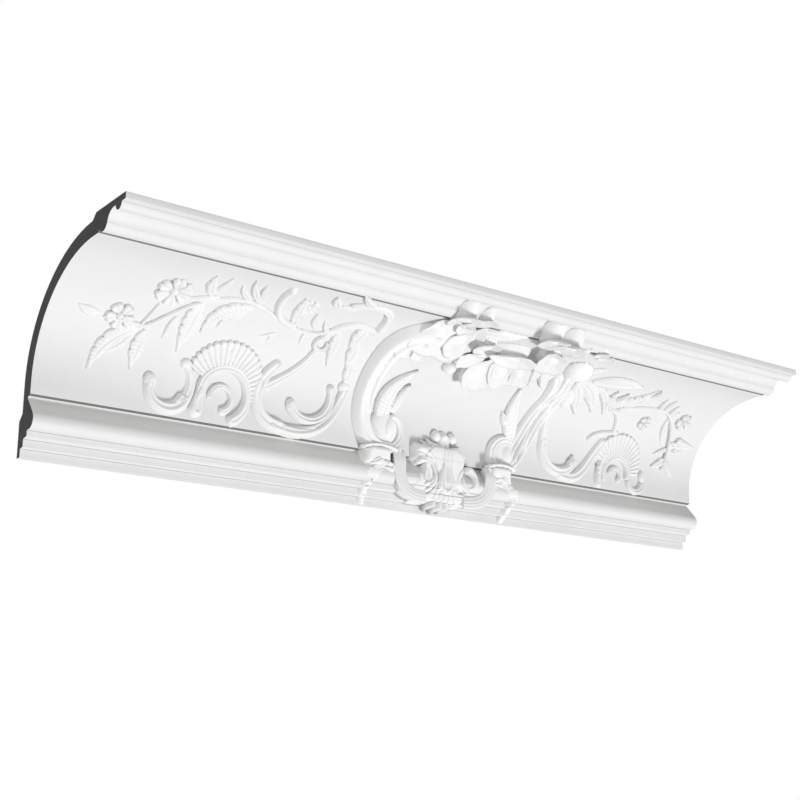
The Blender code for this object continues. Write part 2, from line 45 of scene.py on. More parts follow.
CEILING_Z = (HEIGHT - WALL_STRIP / 2) * MM
ARRIS = 0.7

# Members under the ceiling, from the front edge inwards
FASCIA_EDGE, FASCIA_HEIGHT, FASCIA_STEP = 7.2, 7.5, 8.0
BEAD_RADIUS, QUIRK, SCOTIA_RADIUS = 6.5, 3.0, 14.5
OVOLO_RADIUS, OVOLO_DROP, TOP_NOTCH = 8.5, 17.5, 1.5
BEAD_OUT = PROJECTION - FASCIA_STEP - BEAD_RADIUS
SCOTIA_OUT = BEAD_OUT - BEAD_RADIUS - QUIRK
OVOLO_OUT = SCOTIA_OUT - SCOTIA_RADIUS - OVOLO_RADIUS

# The cove: a quarter ellipse with a short straight run at each end
COVE_TOP_OUT, COVE_TOP_DROP, COVE_TOP_RUN = OVOLO_OUT - OVOLO_RADIUS - TOP_NOTCH, 24.1, 10.2
COVE_FOOT_OUT, COVE_FOOT_DROP, COVE_FOOT_RUN = 24.5, 155.0, 11.2
COVE_CENTRE = (COVE_TOP_OUT - COVE_TOP_RUN, COVE_FOOT_DROP - COVE_FOOT_RUN)
COVE_A, COVE_B = COVE_CENTRE[0] - COVE_FOOT_OUT, COVE_CENTRE[1] - COVE_TOP_DROP

# Members on the wall, from the cove's foot down
FOOT_NOTCH = (18.5, 158.0)
ROLL_CENTRE, ROLL_RADIUS = (26.5, 183.0), 10.0
FILLETS = [(22.3, 193.0), (22.3, 199.3), (14.0, 200.8), (13.8, 209.4), (7.4, 209.8), (7.4, HEIGHT)]
LOWER_MEMBERS = HEIGHT - COVE_FOOT_DROP

# The places of the run's materials
ON_FACE, ON_BACK, ON_END, IN_QUIRK_SHADE, IN_STEP_SHADE = range(5)
# Painted shade in the fine lines where the members meet: dark strips of material, nothing sunk, as (out,
# down, half width, material)
SHADE_LINES = ((169.2, 23.0, 1.9, IN_QUIRK_SHADE), (22.9, 155.9, 1.9, IN_QUIRK_SHADE), (22.3, 193.2, 0.55, IN_STEP_SHADE),
          (14.0, 200.8, 0.6, IN_STEP_SHADE), (7.4, 209.8, 0.6, IN_STEP_SHADE), (217.2, 7.2, 0.5, IN_STEP_SHADE),
          (204.0, 7.6, 0.4, IN_STEP_SHADE))


def arc(cx, cy, rx, ry, a0, a1, steps):
    """Points on an ellipse arc, angles in degrees."""
    out = []
    for i in range(steps + 1):
        a = math.radians(a0 + (a1 - a0) * i / steps)
        out.append((cx + rx * math.cos(a), cy + ry * math.sin(a)))
    return out


def front_profile():
    """The face of the section, from the ceiling's front edge in and down to the foot."""
    pts = [(PROJECTION, 0.0), (PROJECTION, FASCIA_EDGE)]
    pts += arc(BEAD_OUT, FASCIA_HEIGHT, BEAD_RADIUS, BEAD_RADIUS, 0, 180, 18)
    pts += arc(SCOTIA_OUT, FASCIA_HEIGHT + SCOTIA_RADIUS, SCOTIA_RADIUS, SCOTIA_RADIUS, 270, 186, 14)
    pts += arc(OVOLO_OUT, OVOLO_DROP, OVOLO_RADIUS, OVOLO_RADIUS, 22, 155, 16)
    pts += [(COVE_TOP_OUT, COVE_TOP_DROP)]
    pts += arc(*COVE_CENTRE, COVE_A, COVE_B, 270, 180, 72)
    pts += [(COVE_FOOT_OUT, COVE_FOOT_DROP), FOOT_NOTCH]
    pts += arc(*ROLL_CENTRE, ROLL_RADIUS, ROLL_RADIUS, -42, 90, 18)
    return pts + FILLETS


def back_profile():
    """The hollow back of the section, from the foot up the wall to the ceiling."""
    step = COVE_FOOT_OUT - SHELL
    pts = [(0.0, HEIGHT), (0.0, HEIGHT - WALL_STRIP), (step, HEIGHT - WALL_STRIP - step)]
    pts += arc(*COVE_CENTRE, COVE_A + SHELL, COVE_B + SHELL, 180, 268, 40)
    return pts + [(PROJECTION - CEILING_STRIP, 0.0)]


def eased(pts, radius):
    """The closed outline with its sharp corners taken off by a small radius."""
    least_turn, least_cut = math.radians(28), 0.05
    out = []
    for i, p in enumerate(pts):
        p = Vector(p)
        u, v = Vector(pts[i - 1]) - p, Vector(pts[(i + 1) % len(pts)]) - p
        turn = math.pi - u.angle(v)
        cut = min(radius * math.tan(turn / 2), 0.4 * u.length, 0.4 * v.length)
        if turn < least_turn or cut < least_cut:
            out.append(tuple(p))
            continue
        q0, q1 = p + u.normalized() * cut, p + v.normalized() * cut
        for t in (0.0, 0.33, 0.67, 1.0):
            c = q0 * (1 - t) ** 2 + p * 2 * t * (1 - t) + q1 * t * t
            out.append((c.x, c.y))
    return out


# The carving lies on the cove's developed face: x along the run from its left end, s up the girth
# from the cove's foot, n off the face.
TURN = np.linspace(0.0, math.pi / 2, 1201)
ARC_OUT = COVE_CENTRE[0] - COVE_A * np.cos(TURN)
ARC_DROP = COVE_CENTRE[1] - COVE_B * np.sin(TURN)
ARC_RUN = np.concatenate([[0.0], np.cumsum(np.hypot(np.diff(ARC_OUT), np.diff(ARC_DROP)))])
ARC_END = COVE_FOOT_RUN + ARC_RUN[-1]


def developed(x, s, n):
    """World places for places on the developed face."""
    t = np.interp(s - COVE_FOOT_RUN, ARC_RUN, TURN)
    nx, ny = np.cos(t) / COVE_A, np.sin(t) / COVE_B
    k = n / np.hypot(nx, ny)
    straight = s < COVE_FOOT_RUN
    out = np.where(straight, COVE_FOOT_OUT, COVE_CENTRE[0] - COVE_A * np.cos(t)) + nx * k
    out = out + np.maximum(s - ARC_END, 0.0)
    drop = np.where(straight, COVE_FOOT_DROP - s, COVE_CENTRE[1] - COVE_B * np.sin(t)) + ny * k
    return np.stack([(x - LENGTH / 2) * MM, -out * MM, CEILING_Z - drop * MM], -1)


def around(values, reach, take):
    """The least, greatest or mean of each value and those within reach of it."""
    return take([np.roll(values, k) for k in range(-reach, reach + 1)], axis=0)


def face_table():
    """How far the members' own face stands off the developed face, read from the profile."""
    s = np.arange(-66.0, 286.0, 0.25)
    pts = np.array(front_profile())
    face = np.zeros_like(s)
    lower = pts[pts[:, 1] >= COVE_FOOT_DROP]
    below = s < 0
    face[below] = np.interp(COVE_FOOT_DROP - s[below], lower[:, 1], lower[:, 0]) - COVE_FOOT_OUT
    members = (pts[:, 1] < OVOLO_DROP + OVOLO_RADIUS + 0.2) & (pts[:, 0] >= COVE_CENTRE[0])
    upper = pts[members][::-1]
    far = s > ARC_END
    face[far] = np.interp(COVE_CENTRE[0] + s[far] - ARC_END, upper[:, 0], upper[:, 1]) - COVE_TOP_DROP
    return s, face


FACE_S, FACE_N = face_table()
FACE_LOW = around(FACE_N, 5, np.min)
# The thin petals bridge the small steps of the members rather than follow each of them.
FACE_REST = around(around(FACE_N, 28, np.max), 20, np.mean)


# Carving lower than this is cut crisper. Petals from FASCIA_FROM up the girth lie on the upper members.
LOW_CARVING, FASCIA_FROM = 7, 215
# Outside its forms a patch falls away at a slope, and its rim is sunk under the face.
OUTSIDE, OUTER_SLOPE, LEAST_RISE, SUNK_EDGE = -9.0, 2.4, 0.2, 1.6
# Room round a form, so that its outer slope has a place too
MARGIN = 4


def bezier(p, count):
    t = np.linspace(0.0, 1.0, count + 1)[:, None]
    p = np.array(p, float)
    return (1 - t) ** 3 * p[0] + 3 * t * (1 - t) ** 2 * p[1] + 3 * t * t * (1 - t) * p[2] + t ** 3 * p[3]


def cap(v):
    """A quarter-round shoulder."""
    return np.sin(np.clip(v, 0.0, 1.0) * math.pi / 2)


def dip(v):
    """A smooth hump of width one about nought."""
    return np.exp(-v * v)


def proud(rise):
    """The low carving is cut crisper here: its forms stand a little further off the face."""
    return rise * 1.24 if rise < LOW_CARVING else rise


def sloped(a, b):
    """A value that runs from a to b along a line."""
    return lambda t: a + (b - a) * t


def mesh_object(name, mesh):
    obj = bpy.data.objects.new(name, mesh)
    bpy.context.scene.collection.objects.link(obj)
    return obj


class Relief:
    """One patch of carving: heights over the developed face, made from the same forms as the solid."""

    def __init__(self, x0, x1, s0, s1, step):
        self.x = np.arange(x0, x1 + step, step)
        self.s = np.arange(s0, s1 + step, step)
        self.X, self.S = np.meshgrid(self.x, self.s)
        self.face = np.interp(self.S, FACE_S, FACE_N)
        self.low = np.interp(self.S, FACE_S, FACE_LOW)
        # how far the carving stands off the members' own face, below nought outside its forms
        self.rise = np.full(self.X.shape, OUTSIDE)
        self.cups = []
        self.straps = []

    def window(self, pts, margin):
        """The part of the patch within a margin of some points, or None where it is empty."""
        pts = np.asarray(pts, float)
        lo, hi = pts.min(0) - margin, pts.max(0) + margin
        i0, i1 = np.searchsorted(self.x, (lo[0], hi[0]))
        j0, j1 = np.searchsorted(self.s, (lo[1], hi[1]))
        return (slice(j0, j1), slice(i0, i1)) if i1 > i0 and j1 > j0 else None

    def lay(self, win, edge, height):
        """Raise the patch: edge is the distance inside the outline, height the form's own level."""
        v = np.where(edge > 0, np.maximum(height - self.face[win], LEAST_RISE), OUTER_SLOPE * edge)
        self.rise[win] = np.maximum(self.rise[win], v)

    def near(self, win, line):
        """Distance to a line, the side of it, the share of its length run so far, and its length."""
        X, S = self.X[win], self.S[win]
        best = np.full(X.shape, 1e9)
        side = np.zeros(X.shape)
        share = np.zeros(X.shape)
        seg = np.hypot(*np.diff(line, axis=0).T)
        run = np.concatenate([[0.0], np.cumsum(seg)])
        for i in range(len(line) - 1):
            p, q = line[i], line[i + 1]
            d = q - p
            k = np.clip(((X - p[0]) * d[0] + (S - p[1]) * d[1]) / (d @ d), 0.0, 1.0)
            ex, es = X - p[0] - k * d[0], S - p[1] - k * d[1]
            dist = np.hypot(ex, es)
            m = dist < best
            best = np.where(m, dist, best)
            side = np.where(m, np.sign(d[0] * es - d[1] * ex), side)
            share = np.where(m, (run[i] + k * seg[i]) / run[-1], share)
        return best, side, share, run[-1]

    def ribbon(self, line, width, rise, kind, groove=0.0, cuts=0):
        """A form along a line. Its width and rise are functions of the share run along it."""
        line = np.asarray(line, float)
        widest = max(width(t) for t in np.linspace(0, 1, 9))
        win = self.window(line, widest * 0.62 + MARGIN)
        if win is None:
            return
        dist, side, t, length = self.near(win, line)
        half = width(t) / 2.0
        if cuts:
            # rounded lobes along both edges
            wave = np.abs(((t * cuts) % 1.0) - 0.5) * 2
            half = half * (0.80 + 0.24 * np.sqrt(np.clip(1 - wave ** 2.2, 0, 1)))
        half = np.maximum(half, 0.35)
        edge = half - dist
        u = dist / half
        face = self.face[win]
        body = rise(t) - face
        tall = np.clip(body, 0.5, None)
        if kind == "stem":
            h = body * cap(edge / half) ** 0.6
        elif kind == "leaf":
            shoulder = np.minimum(half * 0.4, 1.5 + 0.12 * tall)
            h = body * (0.66 * cap(edge / shoulder) + 0.34 * cap(edge / half))
            # a sunk midrib, and veins that slant away from it
            midrib = dip(dist / (0.10 * half + 0.28)) * cap(t * 5) * cap((1 - t) * 3)
            h = h - 0.32 * np.minimum(body, 6.0) * midrib
            veins = np.abs(np.sin((t * length / 4.6 - 0.9 * u) * math.pi))
            h = h - 0.19 * np.minimum(body, 6.0) * (1 - veins) * cap(u * 2.2) * cap((1 - u) * 4)
        else:
            shoulder = np.minimum(half * 0.8, 3.5 + 0.30 * tall)
            h = body * cap(edge / shoulder)
            if groove:
                # one sunk line beside the middle
                v = (dist * side / half - 0.12) / 0.36
                h = h - groove * np.minimum(body, 9.0) * dip(v) * cap((1 - u) * 3)
        self.lay(win, edge, h + face)

    def stem(self, p0, p1, p2, p3, w0, w1, rise, rise1=None, rounded=False):
        """A bar or a round stem along a curve, its width and rise given at both ends."""
        rise, rise1 = proud(rise), proud(rise if rise1 is None else rise1)
        self.ribbon(bezier((p0, p1, p2, p3), 40), sloped(w0, w1), sloped(rise, rise1),
                    "stem" if rounded else "bar", groove=0.30 if max(w0, w1) > 11 else 0.0)

    def band(self, p0, p1, p2, p3, w0, w1, rise, rise1):
        """A strap: a narrow rib under it here, and the thin strap itself kept for later."""
        self.straps.append((p0, p1, p2, p3, w0, w1, rise, rise1))
        under = 3.5
        self.ribbon(bezier((p0, p1, p2, p3), 40), sloped(w0 / 2, w1 / 2),
                    sloped(rise - under, rise1 - under), "stem")

    def leaf(self, base, tip, width, bend, rise, cuts=None):
        """A pointed leaf from base to tip, with lobes cut in the edge of the broader ones."""
        dx, ds = tip[0] - base[0], tip[1] - base[1]
        mx = (base[0] + tip[0]) / 2 - ds * bend * 4 / 3
        ms = (base[1] + tip[1]) / 2 + dx * bend * 4 / 3
        p1 = (base[0] + (mx - base[0]) * 0.75, base[1] + (ms - base[1]) * 0.75)
        p2 = (tip[0] + (mx - tip[0]) * 0.75, tip[1] + (ms - tip[1]) * 0.75)
        if cuts is None:
            cuts = int(math.hypot(dx, ds) / 11) if width > 12 and (rise < 6.6 or width > 30) else 0
        rise = proud(rise)
        self.ribbon(bezier((base, p1, p2, tip), 28),
                    lambda t: width * np.maximum(np.sin(math.pi * (0.10 + 0.89 * t) ** 0.85), 0.04),
                    lambda t: rise * (0.55 + 0.45 * np.sin(math.pi * np.minimum(t * 1.1, 1.0))),
                    "leaf", cuts=cuts)

    def scroll(self, centre, r0, r1, a0, sweep, w0, w1, rise, rise1=None):
        """A grooved bar turned round a centre: radius, width and rise run from start to end."""
        rise, rise1 = proud(rise), proud(rise if rise1 is None else rise1)
        t = np.linspace(0.0, 1.0, 60)
        a = np.radians(a0 + sweep * t)
        r = r0 + (r1 - r0) * t
        line = np.stack([centre[0] + r * np.cos(a), centre[1] + r * np.sin(a)], -1)
        self.ribbon(line, sloped(w0, w1), sloped(rise, rise1), "bar", groove=0.34)

    def turned(self, win, centre, turn):
        """Offsets from a centre, along the direction turn and across it."""
        c, k = math.cos(math.radians(turn)), math.sin(math.radians(turn))
        dx, ds = self.X[win] - centre[0], self.S[win] - centre[1]
        return dx * c + ds * k, -dx * k + ds * c

    def dome(self, centre, rx, rs, turn, rise):
        """An oval boss."""
        win = self.window([centre], max(rx, rs) + MARGIN)
        if win is None:
            return
        u, v = self.turned(win, centre, turn)
        q = np.hypot(u / rx, v / rs)
        face = self.face[win]
        self.lay(win, (1 - q) * min(rx, rs), face + (rise - face) * np.sqrt(np.clip(1 - q ** 2.2, 0, 1)))

    def plate(self, centre, across, tall, rise0, rise1):
        """A level block with its corners off. The small ones swell like a cushion."""
        win = self.window([centre], max(across, tall) / 2 + MARGIN)
        if win is None:
            return
        dx, ds = np.abs(self.X[win] - centre[0]), self.S[win] - centre[1]
        ex, es = across / 2 - dx, tall / 2 - np.abs(ds)
        edge = np.minimum(np.minimum(ex, es), (ex + es - 0.2 * (across + tall) / 2) * 0.71)
        face = self.face[win]
        level = 0.5 * (rise0 + rise1) + (0.22 if tall < 40 else 0.12) * ds
        shoulder = 0.62 * min(across, tall) / 2 if max(across, tall) < 50 else 5.0
        self.lay(win, edge, face + (level - face) * cap(edge / shoulder))

    def settle(self, x0, x1, s0, s1, share):
        """Let the forms between x0 and x1 lie lower from s0 up to s1 and over it."""
        k = np.clip((self.S - s0) / (s1 - s0), 0, 1)
        m = np.clip(np.minimum(self.X - x0, x1 - self.X) / 8.0, 0, 1) * (self.S < 60)
        lower = self.rise * (1 - share * m * k * k * (3 - 2 * k))
        self.rise = np.where(self.rise > 0, lower, self.rise)

    def petal(self, centre, length, width, turn, rise, fall):
        """A petal pointing along turn: a smaller cushion here, and a thin cupped leaf kept for later."""
        self.cups.append((centre, length, width, turn, rise, fall))
        win = self.window([centre], max(length, width) + MARGIN)
        if win is None:
            return
        smaller, under = 0.84, 1.6
        u, v = self.turned(win, centre, turn)
        u = u / (smaller * length)
        v = v / (smaller * width * (1 + 0.2 * np.clip(u, -1, 1)))
        q = np.hypot(u, v)
        face = self.face[win]
        level = np.maximum(rise - under - fall * (0.5 - 0.5 * np.clip(u, -1, 1)), face + 0.5)
        crown = 0.8 if centre[1] > FASCIA_FROM or abs(turn) < 5 else 0.6
        height = face + (level - face) * np.clip(1 - q ** 2.2, 0, 1) ** crown
        self.lay(win, (1 - q) * smaller * min(length, width), height)

    def rib(self, pts, width, height, ends=0.12):
        """A fine raised line, or with a height under nothing a groove, over what is carved already."""
        line = bezier(pts, 30)
        win = self.window(line, width * 1.6 + 2)
        if win is None:
            return
        dist, _, t, _ = self.near(win, line)
        change = height * dip(dist / (0.5 * width)) * cap(t / ends) * cap((1 - t) / ends)
        was = self.rise[win]
        limit = np.clip(was / 2.0, 0, 1)
        self.rise[win] = np.where(was > 0, np.maximum(was + change * limit, 0.15), was)

    def flower(self, centre, radius, petals, turn, rise):
        """An open flower seen from above: notched petals round an eye."""
        rise = proud(rise)
        win = self.window([centre], radius + MARGIN)
        if win is None:
            return
        dx, ds = self.X[win] - centre[0], self.S[win] - centre[1]
        rad = np.hypot(dx, ds)
        ang = np.arctan2(ds, dx) - math.radians(turn)
        each = 2 * math.pi / petals
        v = (((ang / each) % 1.0) - 0.5) * 2
        outline = radius * (0.64 + 0.36 * np.sqrt(np.clip(1 - np.abs(v) ** 2.6, 0, 1)) - 0.05 * dip(v / 0.16))
        edge = outline - rad
        petal = 0.45 + 0.55 * np.clip(rad / outline, 0, 1) ** 0.8
        h = (rise * 0.95) * petal * cap(edge / (1.6 + 0.07 * radius))
        to_border, to_middle = (1 - np.abs(v)) * rad * 0.5 * each, v * rad * 0.5 * each
        h = h - 0.60 * rise * dip(to_border / (0.5 + 0.028 * radius)) * cap(rad / (0.3 * radius))
        h = h - 0.24 * rise * dip(to_middle / (0.7 + 0.03 * radius)) * cap(rad / (0.4 * radius))
        eye = radius * 0.23
        knob = rise * np.sqrt(np.clip(1 - (rad / eye) ** 2, 0, 1))
        h = np.where(rad < eye * 1.25, np.maximum(h * 0.72, knob), h)
        face = self.face[win]
        self.lay(win, edge, face + (h - face) * cap(edge / (1.0 + 0.05 * radius)))

    def shell(self, centre, r_in, r_out, a0, a1, ribs, rise):
        """A fan of ribs between two angles. r_out gives its radius at the start, middle and end."""
        win = self.window([centre], max(r_out) + MARGIN)
        if win is None:
            return
        dx, ds = self.X[win] - centre[0], self.S[win] - centre[1]
        rad = np.hypot(dx, ds)
        lo, hi = min(a0, a1), max(a0, a1)
        mid = (lo + hi) / 2
        ang = (np.degrees(np.arctan2(ds, dx)) - mid + 180) % 360 - 180 + mid
        t = np.clip((ang - a0) / (a1 - a0), 0, 1)
        outer = r_out[0] * (1 - t) * (1 - 2 * t) + 4 * r_out[1] * t * (1 - t) + r_out[2] * t * (2 * t - 1)
        per_rib, rim, scallop = (2.6, 0.96, 0.05) if rise < LOW_CARVING else (1.5, 0.87, 0.14)
        rise = proud(rise)
        flute = np.abs(np.sin(t * ribs * per_rib * math.pi))
        outer = outer * (rim + scallop * flute ** 0.6)
        end = np.minimum(ang - lo, hi - ang) * math.pi / 180 * rad
        edge = np.minimum(np.minimum(outer - rad, rad - r_in), end)
        q = np.clip((rad - r_in) / np.maximum(outer - r_in, 1), 0, 1)
        face = self.face[win]
        h = (rise - face) * cap(edge / (1.8 + 0.1 * rise)) * (0.62 + 0.38 * flute ** 0.6 - 0.16 * q)
        self.lay(win, edge, h + face)

    def painted_shade_mask(self):
        """How far each place lies under the carving round it, from 0 to 1.2: the mask of the shade painted at
        the foot of the forms.
        """
        raised = np.clip(self.rise, 0, None)
        spread = raised
        for _ in range(2):
            pad = np.pad(spread, 1, mode="edge")
            sides = pad[:-2, 1:-1] + pad[2:, 1:-1] + pad[1:-1, :-2] + pad[1:-1, 2:]
            spread = (pad[1:-1, 1:-1] * 2 + sides) / 6.0
        return np.clip(spread - raised, 0, 1.2)

    def piece(self, name):
        """The patch as a mesh: kept where it stands proud, sunk under the face round its outlines."""
        rise = np.clip(self.rise, -SUNK_EDGE, None)
        n = np.where(rise > 0, self.face + rise, self.low + rise)
        kept = rise > 0.05 - SUNK_EDGE
        cell = kept[:-1, :-1] | kept[1:, :-1] | kept[:-1, 1:] | kept[1:, 1:]
        index = np.arange(rise.size).reshape(rise.shape)
        corners = (index[:-1, :-1], index[:-1, 1:], index[1:, 1:], index[1:, :-1])
        used, quads = np.unique(np.stack([c[cell] for c in corners], -1), return_inverse=True)
        quads = quads.reshape(-1, 4)
        co = developed(self.X, self.S, n).reshape(-1, 3)[used]
        mesh = bpy.data.meshes.new(name)
        mesh.vertices.add(len(co))
        mesh.vertices.foreach_set("co", co.ravel())
        mesh.loops.add(quads.size)
        mesh.loops.foreach_set("vertex_index", quads.ravel())
        mesh.polygons.add(len(quads))
        mesh.polygons.foreach_set("loop_start", np.arange(0, quads.size, 4))
        mesh.update(calc_edges=True)
        mesh.validate()
        mesh.shade_smooth()
        # the hollow attribute carries the mask of the shade painted at the foot of the forms
        hollow = self.painted_shade_mask().ravel()[used].astype(np.float32)
        mesh.attributes.new("hollow", "FLOAT", "POINT").data.foreach_set("value", hollow)
        return mesh_object(name, mesh)


def petal_leaf(centre, length, width, turn, rise, fall, phase, rings=9, spokes=44):
    """Points and faces of one thin cupped petal with a notched, slightly waved rim."""
    c, k = math.cos(math.radians(turn)), math.sin(math.radians(turn))
    a = np.linspace(0, 2 * math.pi, spokes, endpoint=False)
    r = (np.arange(1, rings + 1) / rings)[:, None] ** 0.8
    notch = 0.13 * dip(np.minimum(a, 2 * math.pi - a) / 0.26)
    reach = 1 - notch + 0.045 * np.sin(4 * a + phase) + 0.02 * np.sin(9 * a + 2 * phase)
    u = r * reach * np.cos(a)
    v = r * reach * np.sin(a) * (1 + 0.2 * u)
    x = centre[0] + u * length * c - v * width * k
    s = centre[1] + u * length * k + v * width * c
    small = min(length, width)
    cup, curl = 0.20 * small * (1 - r ** 2) ** 1.5, 0.9 * r ** 6
    wave = 0.07 * small * np.sin(3 * a + phase) * r ** 4
    crease = 0.6 * dip(v * width / 1.3) * r
    pleats = 0.035 * small * np.cos(5 * a + phase) ** 2 * r ** 2
    n = rise - fall * (0.5 - 0.5 * u) - cup + curl + wave - crease - pleats
    # where the petal comes near the members it rests on them
    rest = np.interp(s, FACE_S, FACE_REST) + 0.8 - 0.10 * small * (1 - r ** 2)
    n = 0.5 * (n + rest + np.sqrt((n - rest) ** 2 + 4.0))
    rim_thick, more_thick = 0.9, 0.14 * small
    under = n - rim_thick - more_thick * (1 - r ** 2)
    mid = float(n[0].mean())
    tops = developed(x, s, n).reshape(-1, 3)
    lows = developed(x, s, under).reshape(-1, 3)
    ends = developed(np.full(2, float(centre[0])), np.full(2, float(centre[1])),
                     np.array([mid, mid - rim_thick - more_thick]))
    m = rings * spokes
    faces = []
    for j in range(spokes):
        q = (j + 1) % spokes
        faces.append((2 * m, j, q))
        faces.append((2 * m + 1, m + q, m + j))
        for i in range(rings - 1):
            inner, outer = i * spokes, (i + 1) * spokes
            faces.append((inner + j, outer + j, outer + q, inner + q))
            faces.append((m + inner + q, m + outer + q, m + outer + j, m + inner + j))
        e = (rings - 1) * spokes
        faces.append((e + j, m + e + j, m + e + q, e + q))
    return np.concatenate([tops, lows, ends]), faces


def strap_leaf(p0, p1, p2, p3, w0, w1, rise, rise1, steps=64, across=17):
    """Points and faces of one hanging strap with sunk lines along it."""
    line = bezier((p0, p1, p2, p3), steps)
    d = np.gradient(line, axis=0)
    d = d / np.hypot(d[:, 0], d[:, 1])[:, None]
    t = np.linspace(0, 1, steps + 1)[:, None]
    o = np.linspace(-1, 1, across)[None, :]
    half = sloped(w0, w1)(t) / 2
    x = line[:, :1] - d[:, 1:] * o * half
    s = np.maximum(line[:, 1:] + d[:, :1] * o * half, 0.8 - LOWER_MEMBERS)
    round_edges, tucked_start = 2.0 * np.abs(o) ** 3, 7.0 * np.maximum(0.0, 1 - 6 * t) ** 2
    n = sloped(rise, rise1)(t) - round_edges - tucked_start
    for at in (-0.5, 0.0, 0.5):
        n = n - 0.9 * dip((o - at) / 0.15)
    under = n - 1.0 - 3.4 * (1 - o ** 2)
    co = np.concatenate([developed(x, s, n).reshape(-1, 3), developed(x, s, under).reshape(-1, 3)])
    m = (steps + 1) * across
    faces = []
    for i in range(steps):
        for j in range(across - 1):
            a, b = i * across + j, (i + 1) * across + j
            faces.append((a, b, b + 1, a + 1))
            faces.append((m + a + 1, m + b + 1, m + b, m + a))
        for a, b in ((i * across, (i + 1) * across), ((i + 2) * across - 1, (i + 1) * across - 1)):
            faces.append((a, m + a, m + b, b))
    for j in range(across - 1):
        faces.append((j, j + 1, m + j + 1, m + j))
        e = steps * across + j
        faces.append((e + 1, e, m + e, m + e + 1))
    return co, faces


def petals_piece(name, cups, straps):
    """All the thin petals and straps of one bunch as a mesh."""
    points, faces, start = [], [], 0
    forms = [petal_leaf(*cup, phase=1.7 * i) for i, cup in enumerate(cups)]
    for co, fs in forms + [strap_leaf(*strap) for strap in straps]:
        points.append(co)
        faces += [tuple(start + v for v in f) for f in fs]
        start += len(co)
    mesh = bpy.data.meshes.new(name)
    mesh.from_pydata(np.concatenate(points).tolist(), [], faces)
    bm = bmesh.new()
    bm.from_mesh(mesh)
    bmesh.ops.recalc_face_normals(bm, faces=bm.faces[:])
    bm.to_mesh(mesh)
    bm.free()
    mesh.shade_smooth()
    return mesh_object(name, mesh)


def carve_left(c):
    """Spray, shell arch and scrolls to the left of the middle."""
    c.leaf((54, 99), (29, 105), 12, 0.10, 3.0)
    c.flower((78, 101), 17, 5, 18, 4.5)
    c.leaf((103, 92), (58, 35), 21, -0.16, 4.0)
    c.leaf((100, 88), (62, 54), 14, 0.10, 4.4)
    c.leaf((111, 88), (106, 44), 18, 0.0, 4.0)
    c.stem((62, 96), (76, 94), (92, 99), (112, 93), 3.5, 5.0, 2.6, rounded=True)
    c.stem((104, 92), (108, 104), (112, 112), (114, 124), 4.5, 4.0, 2.8, rounded=True)
    c.flower((121, 147), 22, 6, 5, 5.0)
    c.stem((104, 93), (130, 102), (150, 154), (205, 158), 5.0, 6.0, 3.4, rounded=True)
    c.stem((205, 158), (236, 157), (256, 129), (302, 131), 6.0, 5.0, 3.4, rounded=True)
    c.stem((302, 131), (318, 131), (326, 142), (334, 152), 5.0, 5.0, 3.4, rounded=True)
    c.leaf((172, 153), (140, 142), 10, 0.08, 3.4)
    c.leaf((158, 139), (155, 72), 22, 0.03, 4.2)
    c.leaf((140, 112), (133, 84), 10, 0.05, 3.4)
    c.leaf((163, 153), (151, 190), 13, 0.10, 4.0)
    c.leaf((163, 156), (169, 194), 10, -0.10, 3.2)
    c.leaf((222, 158), (193, 199), 10, 0.10, 4.0)
    c.leaf((218, 147), (174, 101), 21, -0.24, 4.6)
    c.leaf((214, 138), (190, 112), 13, -0.16, 4.0)
    c.shell((221, 37), 31, (39, 62, 52), -10, 154, 8, 4.6)
    c.scroll((222, 36), 29, 33, 188, -252, 9, 14, 6.0)
    c.scroll((220, 30), 14, 15, 178, -252, 6, 10, 5.0)
    c.stem((197, 46), (196, 36), (191, 26), (190, 13), 9, 19, 5.6)
    c.scroll((153, 31), 21, 23, 165, 168, 14, 18, 6.4)
    c.stem((173, 18), (184, 32), (184, 48), (171, 62), 17, 8, 6.0, 4.5)
    c.dome((132, 36), 8, 10, 10, 6.6)
    c.dome((171, 62), 7, 6, 0, 5.2)
    c.scroll((336, 50), 26, 30, 205, 185, 13, 11, 6.8)
    c.dome((313, 37), 7, 9, 10, 6.6)
    c.dome((379, 70), 8, 7, 0, 5.6)
    c.stem((300, 9), (260, 12), (258, 54), (281, 80), 19, 15, 6.4)
    c.stem((292, 10), (332, -2), (374, 14), (381, 64), 16, 14, 6.4)
    c.stem((276, 54), (294, 68), (318, 82), (322, 112), 12, 8, 5.0)
    c.scroll((326, 118), 11, 6, 100, 290, 8, 5, 4.8)
    c.stem((322, 124), (330, 152), (346, 166), (374, 157), 12, 8, 4.6)
    c.leaf((336, 142), (345, 92), 15, 0.03, 4.6)
    c.leaf((366, 158), (362, 122), 20, 0.0, 4.6)
    c.leaf((370, 132), (371, 96), 17, 0.0, 4.4)
    c.leaf((376, 106), (380, 68), 15, 0.0, 4.2)
    c.stem((320, 196), (346, 216), (380, 206), (383, 162), 6, 14, 5.0)
    c.leaf((347, 203), (314, 228), 11, 0.06, 4.6)
    c.leaf((308, 184), (293, 207), 12, 0.08, 4.0)
    c.stem((277, 137), (250, 137), (238, 160), (240, 197), 8, 11, 4.4)
    c.leaf((273, 142), (264, 187), 14, -0.04, 4.0)
    c.leaf((307, 138), (295, 163), 11, 0.10, 3.8)


